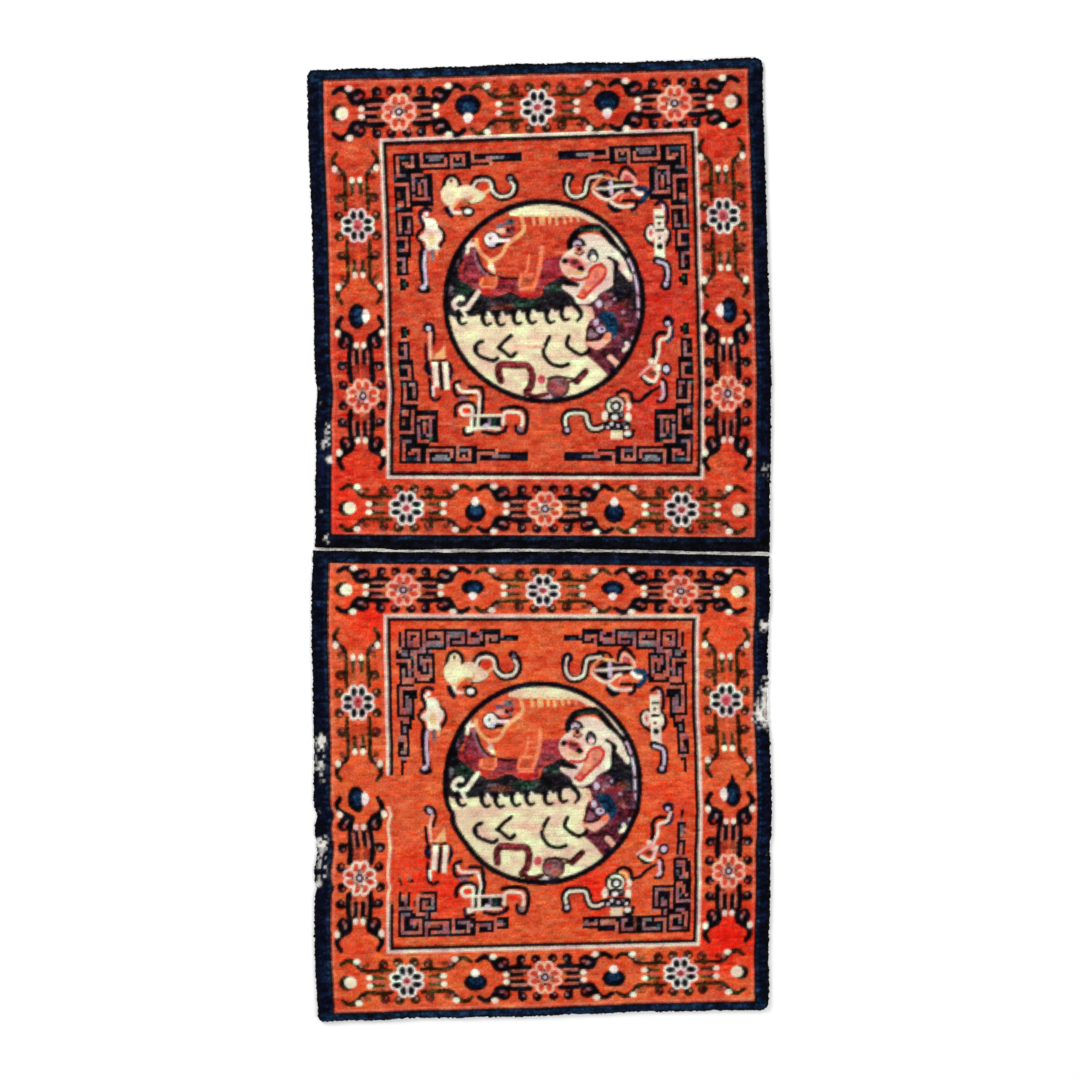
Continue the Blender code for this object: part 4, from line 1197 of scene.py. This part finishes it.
def border(cloth, square):
    """The ring of flowers, buds and balls on the red border: the head's row, the foot's row mirrored, and
    the two sides with their figures turned a quarter."""
    for end, outward in enumerate((1, -1)):
        row = cloth.at(0, square["ends"][end], stretch=(1, outward * square["narrow"][end]))
        for place, (column, reach) in enumerate(zip(UNIT_COLUMNS, UNIT_REACH)):
            unit(row.at(column, 0), (place == 1) == (outward > 0), *reach, eye=UNIT_EYE)
        for column in BALL_COLUMNS:
            blue_ball(row.at(column, 0, stretch=square["balls"][end]))
        for column, flip in zip(CORNER_COLUMNS, (1, -1)):
            corner_bud(row.at(column, 0, flip=flip))
    for column, turn, point, rim in zip(square["across"], (90, -90), square["points"], square["rims"]):
        for white, (row, before, after) in zip((True, False), square["sides"]):
            unit(cloth.at(column, row, turn=90, stretch=SIDE_STRETCH), white, before, after, rim=rim)
        side_ball = cloth.at(column, square["ball"], turn=turn, stretch=SIDE_BALL_STRETCH)
        blue_ball(side_ball, tip=1.4, point=point)


# Each emblem's middle on the chart, and how far it is drawn out up and down
UPPER["emblems"] = (
    (gourd, 49.8, 117.4, 1.0), (fan, 99.3, 118.9, 1.0), (lozenge, 39.7, 104.3, 1.0),
    (ladder, 116.3, 103.1, 1.0), (drum, 41.3, 58.2, 1.0), (lotus, 114.0, 59.2, 1.0),
    (sword, 55.2, 43.6, 1.0), (basket, 100.4, 43.4, 1.0),
)
LOWER["emblems"] = (
    (gourd, 50.2, 113.4, 1.1), (fan, 98.2, 114.9, 1.08), (lozenge, 39.9, 99.7, 1.0),
    (ladder, 114.5, 98.0, 1.0), (drum, 41.0, 53.3, 1.0), (lotus, 113.3, 54.7, 0.9),
    (sword, 55.8, 39.6, 1.0), (basket, 100.7, 39.8, 1.0),
)


def paint(square):
    """The whole chart of one square: its grounds, border figures, frets, emblems and roundel."""
    size = (round(square["rows"] / CELL), round(COLUMNS / CELL), 1)
    chart = np.tile(TINTS["navy"], size)
    cloth = Figure(chart, 0, 0)
    grounds(cloth, square)
    border(cloth, square)
    for column, row, across, up, knots in square["frets"]:
        fret(cloth.at(column, row, stretch=(across, up)), knots)
    for draw, column, row, tall in square["emblems"]:
        draw(cloth.at(column, row, stretch=(1, tall)))
    roundel(cloth.at(*square["middle"], stretch=square["round"]))
    return chart


# ---- Indigo border pile ----
# The outer border of each square: Persian-knotted wool, its cut ends standing about 5 mm above the weave,
# all in mottled indigo, with a black line of painted shade round the square's edges, where the pile falls
# away at the rug's edge and at the bare band, and a black line against the red. Every knot is tied round
# two warps and beaten down, so the pile reads as rows of small tufts.
PILE_TOP = 0.0080
EDGE_TOP, EDGE_RELIEF = 0.0036, 0.3  # the pile's height at the very edge, and how much relief is left
# How far the pile rises and falls, and its wide and its small lumps' lengths across and along
PILE_UNEVEN = 0.0004
WIDE_LUMP, SMALL_LUMP = (0.045, 0.061), (0.019, 0.027)
SHOULDER, BAND_SHOULDER = 0.0090, 0.0040
KNOT_RISE = 0.0008      # how far a knot's middle stands over the gaps between knots
TUFT_UNEVEN = 0.00022   # how unevenly the yarn ends were sheared
ROW_UNEVEN = 0.00012    # and how much a whole row of them
YARN_DRIFT = 0.00022    # how far yarn ends lean out of the knots' grid
EDGE_DRIFT, EDGE_REACH = 0.0004, 0.0015   # how much more they lean at the rug's edge, and how far in
# How far the pile leans over the bare band, the share by which that varies, and the steps of its
# variation in half knots
BAND_LEAN, LEAN_VARIES, LEAN_STEPS = 0.0008, 0.7, (400.0, 9.0)
WORN_DEPTH = 0.0005     # how far under the bare weave the worn-out tufts are
PILE_ROOT = 0.0014      # the height where the pile's closed underside lies, inside the weave
ROOT_INSET = 0.0009     # how far in from the edge it lies


def shoulder(distance, reach):
    """0 at the edge to 1 a reach inside it, rising as a quarter circle."""
    return np.sqrt(1 - (1 - np.clip(distance / reach, 0, 1)) ** 2)


def drift(rows, columns, row_step, column_step):
    """A slow random field: standard normal values at wide steps, read between them with hat weights."""
    def hats(count, step):
        """A weight for each place and step: 1 on the step, straight down to 0 at its neighbours."""
        place = np.arange(count)[:, None] / step
        return np.maximum(1 - np.abs(place - np.arange(int(count / step) + 2)), 0)

    down, over = hats(rows, row_step), hats(columns, column_step)
    return down @ chance.normal(0, 1, (down.shape[1], over.shape[1])) @ over.T


def tuft_points(rows, foot, head):
    """The pile's points of one square, four to a knot, on the plan and at the pile's height.

    The height over the weave is the pile's own, with slow and quick lumps, times the share still
    standing, times the quarter-round shoulders at the edges and the band. Each knot is a small dome, the
    product of a half sine each way, and each yarn end stands and leans a little by chance.
    """
    row, column = np.mgrid[0:2 * rows + 1, 0:2 * COLUMNS + 1] / 2
    u = column / COLUMNS
    along = pulled_rows(u, foot + row / rows * (head - foot))
    v = (along - FOOT) / LENGTH
    across, up = plan(u, v)
    from_edge = np.minimum(np.minimum(u, 1 - u) * WIDTH, np.minimum(v, 1 - v) * LENGTH)
    from_band = np.abs(along - band_line(across)) - BAND_HALF_WIDTH
    lumps = np.sin(across / WIDE_LUMP[0] + 1.1) * np.sin(up / WIDE_LUMP[1])
    lumps = lumps + np.sin(across / SMALL_LUMP[0]) * np.sin(up / SMALL_LUMP[1] + 2.0)
    standing = 1 - worn_share(across, up)
    edges = shoulder(from_band, BAND_SHOULDER) * shoulder(from_edge, SHOULDER)
    dome = np.abs(np.sin(np.pi * column) * np.sin(np.pi * row)) - 0.5
    relief = KNOT_RISE * dome + chance.normal(0, TUFT_UNEVEN, dome.shape)
    relief = relief + chance.normal(0, ROW_UNEVEN, (dome.shape[0], 1))
    pile = PILE_TOP - WEAVE_TOP + PILE_UNEVEN * lumps
    root = WEAVE_TOP - WORN_DEPTH * (1 - standing)
    z = root + standing * edges * (pile + relief)
    z = np.where(from_edge <= 1e-6, EDGE_TOP + EDGE_RELIEF * relief, z)
    loose = YARN_DRIFT + EDGE_DRIFT * np.exp(-from_edge / EDGE_REACH)
    lean = chance.normal(0, 1, (2, *dome.shape)) * loose
    over_band = BAND_LEAN * np.exp(-np.maximum(from_band, 0) / EDGE_REACH) * np.sign(BAND_ALONG - along)
    lean[1] += over_band * (1 + LEAN_VARIES * drift(*dome.shape, *LEAN_STEPS))
    return np.stack([across + lean[0], up + lean[1], z], -1), standing


SQUARE_SPANS = (
    (LOWER, LOWER_ROWS, FOOT, BAND_ALONG - BAND_HALF_WIDTH),
    (UPPER, UPPER_ROWS, BAND_ALONG + BAND_HALF_WIDTH, HEAD),
)
OWN_SHARE = 0.6         # how much of a corner's colour is its own yarn end's, and not its neighbours'
# Each square's share of the colour map's width and the margin beside it, the share of its height that the
# pile's upper side takes, and the strip above it for the underside
MAP_HALF, MAP_MARGIN, MAP_TOP = 0.496, 0.002, 0.985
MAP_ROOT, MAP_ROOT_FOOT = 0.01, MAP_TOP + 0.004
ROOT_TINT = (0.10, 0.09, 0.08)


def mean_of_four(grid):
    """The mean of every four neighbours, which lies where they meet."""
    return (grid[:-1, :-1] + grid[1:, :-1] + grid[:-1, 1:] + grid[1:, 1:]) / 4


def wall_edges(pile):
    """The cell edges with pile on one side only, as start and end corners, pile on the left."""
    beyond = np.pad(pile, 1)
    number = np.arange((pile.shape[0] + 1) * (pile.shape[1] + 1)).reshape(pile.shape[0] + 1, -1)
    foot, head = pile & ~beyond[:-2, 1:-1], pile & ~beyond[2:, 1:-1]
    left, right = pile & ~beyond[1:-1, :-2], pile & ~beyond[1:-1, 2:]
    starts = [number[:-1, :-1][foot], number[:-1, 1:][right], number[1:, 1:][head], number[1:, :-1][left]]
    ends = [number[:-1, 1:][foot], number[1:, 1:][right], number[1:, :-1][head], number[:-1, :-1][left]]
    return np.concatenate(starts), np.concatenate(ends)


def outline_of(plot, columns):
    """The corners round a rectangle of cells, from the left foot up, so that the face looks down."""
    row0, row1, column0, column1 = plot
    up, over = np.arange(row0, row1), np.arange(column0, column1)
    left = up * columns + column0
    head = row1 * columns + over
    right = (up + 1)[::-1] * columns + column1
    foot = row0 * columns + (over + 1)[::-1]
    return np.concatenate([left, head, right, foot])


def map_places(rows, columns, plots, side):
    """Where a piece's points lie on its colour map: their share of the plots' width and length, one square
    on each half of the map."""
    low = np.min(plots, axis=0)[[0, 2]]
    high = np.max(plots, axis=0)[[1, 3]]
    row, column = np.mgrid[0:rows, 0:columns]
    spot = np.stack([(column - low[1]) / (high[1] - low[1]), (row - low[0]) / (high[0] - low[0])], -1)
    return (spot * (MAP_HALF, MAP_TOP) + (MAP_MARGIN + side / 2, 0)).reshape(-1, 2)


def pile_piece(name, plots_of_squares):
    """The pile of one part of both squares, closed.

    plots_of_squares gives each square's rectangles of half-knot cells (first row, last row, first column,
    last column). The top is the cells' quads; a wall hangs from every cell edge with no pile beyond it;
    one face round each rectangle's outline closes it underneath, inside the weave.
    """
    points, faces, tints, places = [], [], [], []
    count = 0
    for side, plots in enumerate(plots_of_squares):
        top, cells = SQUARES[side]
        rows, columns = top.shape[:2]
        root = top * (1 - 2 * ROOT_INSET / WIDTH, 1 - 2 * ROOT_INSET / LENGTH, 0) + (0, 0, PILE_ROOT)
        points += [top.reshape(-1, 3), root.reshape(-1, 3)]
        pile = np.zeros((rows - 1, columns - 1), bool)
        for row0, row1, column0, column1 in plots:
            pile[row0:row1, column0:column1] = True
        spot = map_places(rows, columns, plots, side)
        meeting = mean_of_four(np.pad(cells, ((1, 1), (1, 1), (0, 0)), mode="edge")).reshape(-1, 3)
        quads = grid_faces(rows, columns)[pile.ravel()]
        own = np.repeat(cells[pile][:, None], 4, axis=1)
        start, end = wall_edges(pile)
        lower = rows * columns
        walls = np.stack([end, start, start + lower, end + lower], -1)
        wall_tops = np.stack([end, start, start, end], -1)
        bottoms = [outline_of(plot, columns) for plot in plots]
        faces += [quads + count, walls + count, *(ring[None] + lower + count for ring in bottoms)]
        tints += [(OWN_SHARE * own + (1 - OWN_SHARE) * meeting[quads]).reshape(-1, 3)]
        tints += [meeting[wall_tops].reshape(-1, 3), np.tile(ROOT_TINT, (sum(map(len, bottoms)), 1))]
        places += [spot[quads].reshape(-1, 2), spot[wall_tops].reshape(-1, 2)]
        places += [spot[ring] * (1, MAP_ROOT) + (0, MAP_ROOT_FOOT) for ring in bottoms]
        count += 2 * lower
    points = np.concatenate(points)
    used, corners = np.unique(np.concatenate([block.ravel() for block in faces]), return_inverse=True)
    ends = np.cumsum([block.size for block in faces])[:-1]
    faces = [part.reshape(block.shape) for part, block in zip(np.split(corners, ends), faces)]
    piece = put_mesh(name, points[used], faces, np.concatenate(tints), np.concatenate(places))
    piece.data.materials.append(wool_pile)
    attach(piece, "root")
    return piece


def dyed_cloth(name, pattern_kind, pattern_sizes, shades, surface, bump_height):
    """A cloth's material: the mesh's own dye times a pattern, which is also its bump.

    pattern_sizes, shades and surface are what is set on the pattern, on the range that it is stretched to
    and on the shader.
    """
    material = bpy.data.materials.new(name)
    material.use_nodes = True
    nodes, links = material.node_tree.nodes, material.node_tree.links
    principled = nodes["Principled BSDF"]
    dye = nodes.new("ShaderNodeAttribute")
    dye.attribute_name = "dye"
    place = nodes.new("ShaderNodeTexCoord")
    pattern = nodes.new(pattern_kind)
    shade = nodes.new("ShaderNodeMapRange")
    dyed = nodes.new("ShaderNodeVectorMath")
    dyed.operation = "SCALE"
    bump = nodes.new("ShaderNodeBump")
    relief = {"Strength": 0.6, "Distance": bump_height}
    for node, values in ((pattern, pattern_sizes), (shade, shades), (principled, surface), (bump, relief)):
        for socket, value in values.items():
            node.inputs[socket].default_value = value
    links.new(place.outputs["Object"], pattern.inputs["Vector"])
    links.new(pattern.outputs["Fac"], shade.inputs["Value"])
    links.new(dye.outputs["Color"], dyed.inputs[0])
    links.new(shade.outputs["Result"], dyed.inputs["Scale"])
    links.new(dyed.outputs["Vector"], principled.inputs["Base Color"])
    links.new(pattern.outputs["Fac"], bump.inputs["Height"])
    links.new(bump.outputs["Normal"], principled.inputs["Normal"])
    return material, pattern


def wool():
    """Cut wool pile: each yarn end's own dye, varied along its fibres, dull, with the soft sheen of wool
    at a low angle and a fibrous bump a millimetre across, which also makes it rougher here and there."""
    material, fibres = dyed_cloth(
        "wool pile", "ShaderNodeTexNoise", {"Scale": 620.0, "Detail": 3.0},
        {"From Min": 0.25, "From Max": 0.75, "To Min": 0.74, "To Max": 1.26},
        {"Specular IOR Level": 0.03, "Sheen Weight": 0.03, "Sheen Roughness": 0.45}, 0.0009,
    )
    nodes, links = material.node_tree.nodes, material.node_tree.links
    rough = nodes.new("ShaderNodeMapRange")
    rough.inputs["To Min"].default_value = 0.82
    rough.inputs["To Max"].default_value = 1.0
    links.new(fibres.outputs["Fac"], rough.inputs["Value"])
    links.new(rough.outputs["Result"], nodes["Principled BSDF"].inputs["Roughness"])
    return material


# How uneven the dye is, as a shade and in each hue: on any wool, the more that a dark one has, and how
# quickly that fades as the chart gets lighter
SHADE_NOISE, DARK_NOISE, DARK_MEAN = 0.08, 0.66, 0.11
HUE_NOISE, CHANNEL_NOISE, CHANNEL_MEAN = 0.01, 0.68, 0.09
DARKEST = 0.0015        # no dye takes all the light
KNOT_OWN, KNOT_BESIDE = 0.6, 0.4     # how much of a knot's noise is its own, and each neighbour's
KNOT_SHARE, END_SHARE = 0.85, 0.65   # how much of the noise is the knot's, and the single yarn end's
SKEW = 0.12             # yarn ends stray further to the dark than to the light
# Painted shade: the lower yarn ends of every row are darkened, as if in the shade of the row below
PAINTED_ROW_SHADE = 0.08        # the lower yarn ends of a row lie in the shade of the row below
# The batches' slow drift, in red, green and blue, and its steps up and across in half knots: a long streak,
# a shorter one that counts SHORT_SHARE, and mottle
STREAK_SHARE = np.array((0.02, 0.09, 0.07))
MOTTLE_SHARE = np.array((0.04, 0.20, 0.12))
LONG_STREAK, SHORT_STREAK, SHORT_SHARE, MOTTLE = (3.0, 56.0), (14.0, 18.0), 0.8, (3.5, 7.0)
# The share of lost pile from which cotton shows, how far that varies by knot, and how far it takes to all
BARE_FROM, BARE_VARIES, BARE_FADE = 0.25, 0.5, 0.30
COTTON_LOW, COTTON_VARIES = 0.75, 0.35   # how light that cotton is at least, and by how much more at most


def by_knots(values):
    """Each knot's value given to its four cells."""
    return values.repeat(2, axis=0).repeat(2, axis=1)


def yarn_tints(square, standing):
    """A square's yarn ends, from its chart: every knot and yarn end its own shade, the darks the most
    uneven, rows in batches that differ a little, and worn knots gone to the cotton they were tied on.

    The colour is the chart's times e to a sum: the shade's noise, less a painted shade on the lower yarn
    ends of each row, each channel's own noise, and the streaks and the mottle of the batches. The noises
    are stronger the darker the chart is, and are skewed by taking off a share of their square.
    """
    cells = np.maximum(paint(square), DARKEST)
    rows = square["rows"]
    knot = chance.normal(0, 1, (rows, COLUMNS, 2))
    beside = np.roll(knot, 1, axis=1), np.roll(knot, -1, axis=1)
    knot = by_knots(KNOT_OWN * knot + KNOT_BESIDE * beside[0] + KNOT_BESIDE * beside[1])
    size = (2 * rows, 2 * COLUMNS)
    mixed = KNOT_SHARE * knot + END_SHARE * chance.normal(0, 1, (*size, 2))
    mixed = mixed - SKEW * mixed**2
    streak = drift(*size, *LONG_STREAK) + SHORT_SHARE * drift(*size, *SHORT_STREAK)
    mottle = drift(*size, *MOTTLE)[..., None] * MOTTLE_SHARE
    dark = np.exp(-cells.mean(-1, keepdims=True) / DARK_MEAN)
    shade = (SHADE_NOISE + DARK_NOISE * dark) * mixed[..., :1]
    hues = (HUE_NOISE + CHANNEL_NOISE * np.exp(-cells / CHANNEL_MEAN)) * mixed[..., 1:]
    # painted shade on the lower yarn ends of each row
    shade[::2] -= PAINTED_ROW_SHADE
    cells = cells * np.exp(shade + hues + mottle + streak[..., None] * STREAK_SHARE)
    gone = by_knots(chance.uniform(0, 1, (rows, COLUMNS)))
    lost = 1 - mean_of_four(standing)
    bare = np.clip((lost - BARE_FROM - BARE_VARIES * gone) / BARE_FADE, 0, 1)[..., None]
    cotton = np.asarray(COTTON_IVORY) * (COTTON_LOW + COTTON_VARIES * gone[..., None])
    return np.clip(cells + bare * (cotton - cells), 0.001, 0.95)


wool_pile = wool()
SQUARES = []
for square, rows, foot, head in SQUARE_SPANS:
    tufts, standing = tuft_points(rows, foot, head)
    SQUARES.append((tufts, yarn_tints(square, standing)))


def frame_plots(outer, inner):
    """A frame of cells between two rectangles, as its foot and head strips and its two sides."""
    row0, row1, column0, column1 = outer
    low, high, left, right = inner
    return [(row0, low, column0, column1), (high, row1, column0, column1),
            (low, high, column0, left), (low, high, right, column1)]


def cells_of(box):
    """A rectangle on the chart, (left, foot, right, head) in knots, as whole half-knot cells."""
    left, foot, right, head = (round(2 * edge) for edge in box)
    return foot, head, left, right


whole = [(0, 2 * square["rows"], 0, 2 * COLUMNS) for square, *_ in SQUARE_SPANS]
red_frames = [cells_of(square["red"]) for square, *_ in SQUARE_SPANS]
guards = [cells_of(square["guard"]) for square, *_ in SQUARE_SPANS]
indigo = pile_piece("indigo_border_pile", [frame_plots(*pair) for pair in zip(whole, red_frames)])

# ---- Scroll border pile ----
# The wide orange-red border of flowers, buds and hooked scrolls, knotted in the same rows as the indigo
# border around it.
scrolls = pile_piece("scroll_border_pile", [frame_plots(*pair) for pair in zip(red_frames, guards)])

# ---- Field pile ----
# The orange-red field inside the ivory guard line, with its key fret, eight emblems and the roundel.
field = pile_piece("field_pile", [[guard] for guard in guards])

# ---- Knot backs ----
# Underneath, the weave shows each knot's back as a flat nub of its own colour, a little dulled by the
# cotton between them. The weave and its pile are one cloth, laid flat.
BACK_DULL = 0.22
SOIL_UNEVEN, SOIL_STEPS = 0.5, (8.0, 4.0)   # how much the soil drifts, and its steps in knots


def cotton():
    """Plain cotton weave: dull, off white, with ribs of weft 2 mm apart as bump, its colour darker in the
    hollows between the ribs.
    """
    return dyed_cloth(
        "cotton ground", "ShaderNodeTexWave",
        {"Scale": 150.0, "Distortion": 4.0, "Detail": 2.0, "Detail Scale": 3.0},
        {"To Min": 0.70, "To Max": 1.10}, {"Specular IOR Level": 0.20, "Roughness": 0.95}, 0.0008,
    )[0]


def knot_backs():
    """The colour of every quad under the weave: a knot's four yarn ends averaged and dulled with cotton,
    and plain cotton in the band's rows."""
    backs = [cells.reshape(len(cells) // 2, 2, COLUMNS, 2, 3).mean((1, 3)) for _, cells in SQUARES]
    backs = [back + BACK_DULL * (np.asarray(COTTON_SOILED) - back) for back in backs]
    band = np.broadcast_to(COTTON_SOILED, (BAND_ROWS, COLUMNS, 3))
    return np.concatenate([backs[0], band, backs[1]])


def ground_tints():
    """Face-corner colours of the weave: on top ivory, soiled by chance from point to point and in slow
    drifts, and underneath the knots' backs."""
    rows, columns = ground_shape
    soil = chance.beta(1.2, 2.0, (rows, columns, 1))
    soil = np.clip(soil + SOIL_UNEVEN * drift(rows, columns, *SOIL_STEPS)[..., None], 0, 1)
    top = COTTON_IVORY + soil * (np.asarray(COTTON_SOILED) - COTTON_IVORY)
    top = top.reshape(-1, 3)[ground_faces[0]]
    under = np.repeat(knot_backs().reshape(-1, 1, 3), 4, axis=1)
    rim = np.broadcast_to(COTTON_SOILED, (len(ground_faces[2]), 4, 3))
    return np.concatenate([block.reshape(-1, 3) for block in (top, under, rim)])


def ground_places():
    """Where each face corner of the weave lies on its colour map: the top on the left half, the underside
    on the right half, and the rim along the top's outline."""
    rows, columns = ground_shape
    row, column = np.mgrid[0:rows, 0:columns]
    spot = np.stack([column / (columns - 1), row / (rows - 1)], -1).reshape(-1, 2) * (MAP_HALF, 1)
    top = spot[ground_faces[0]] + (MAP_MARGIN, 0)
    under = spot[ground_faces[1] - rows * columns] + (MAP_MARGIN + 0.5, 0)
    rim = spot[ground_faces[2] % (rows * columns)] + (MAP_MARGIN, 0)
    return np.concatenate([block.reshape(-1, 2) for block in (top, under, rim)])


ground = put_mesh("cotton_ground", ground_points, ground_faces, ground_tints(), ground_places())
ground.data.materials.append(cotton())
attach(ground, "root")
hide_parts("rug")

# ---- Floor, light and camera ----
# A plain white floor under soft, even studio light, seen from straight above the rug's middle.
FLOOR_SIZE, FLOOR_DROP = 8.0, 0.0002
FLOOR_WHITE = (0.90, 0.90, 0.90, 1)
CAMERA_HEIGHT = 3.70
VIEW_WIDTH = 1.566      # how much of the floor the square picture takes in
VIEW_MIDDLE = (0.0007, -0.0004)
SENSOR = 36.0           # in millimetres, as the lens

bpy.ops.mesh.primitive_plane_add(size=FLOOR_SIZE, location=(0, 0, -FLOOR_DROP))
floor = bpy.context.object
floor.name = "floor"
paper = bpy.data.materials.new("white floor")
paper.use_nodes = True
matt = paper.node_tree.nodes["Principled BSDF"]
matt.inputs["Base Color"].default_value = FLOOR_WHITE
matt.inputs["Roughness"].default_value = 0.9
floor.data.materials.append(paper)


def soft_light(name, place, size, power):
    """A square lamp of the given size at a place, turned to face the rug's middle."""
    lamp = bpy.data.lights.new(name, "AREA")
    lamp.size = size
    lamp.energy = power
    light = bpy.data.objects.new(name, lamp)
    light.location = place
    light.rotation_euler = (-light.location).to_track_quat("-Z", "Y").to_euler()
    bpy.context.collection.objects.link(light)


soft_light("key light", (-2.2, 1.9, 2.2), 1.6, 95.0)
soft_light("fill light", (2.4, -1.6, 3.0), 2.4, 60.0)

world = bpy.data.worlds.new("studio")
world.use_nodes = True
sky = world.node_tree.nodes["Background"]
sky.inputs["Color"].default_value = (1, 1, 1, 1)
sky.inputs["Strength"].default_value = 0.62
bpy.context.scene.world = world

eye = bpy.data.cameras.new("camera")
eye.sensor_width = SENSOR
eye.lens = SENSOR * CAMERA_HEIGHT / VIEW_WIDTH
camera = bpy.data.objects.new("camera", eye)
camera.location = (*VIEW_MIDDLE, CAMERA_HEIGHT)
bpy.context.collection.objects.link(camera)
bpy.context.scene.camera = camera
bpy.context.scene.view_settings.view_transform = "Standard"
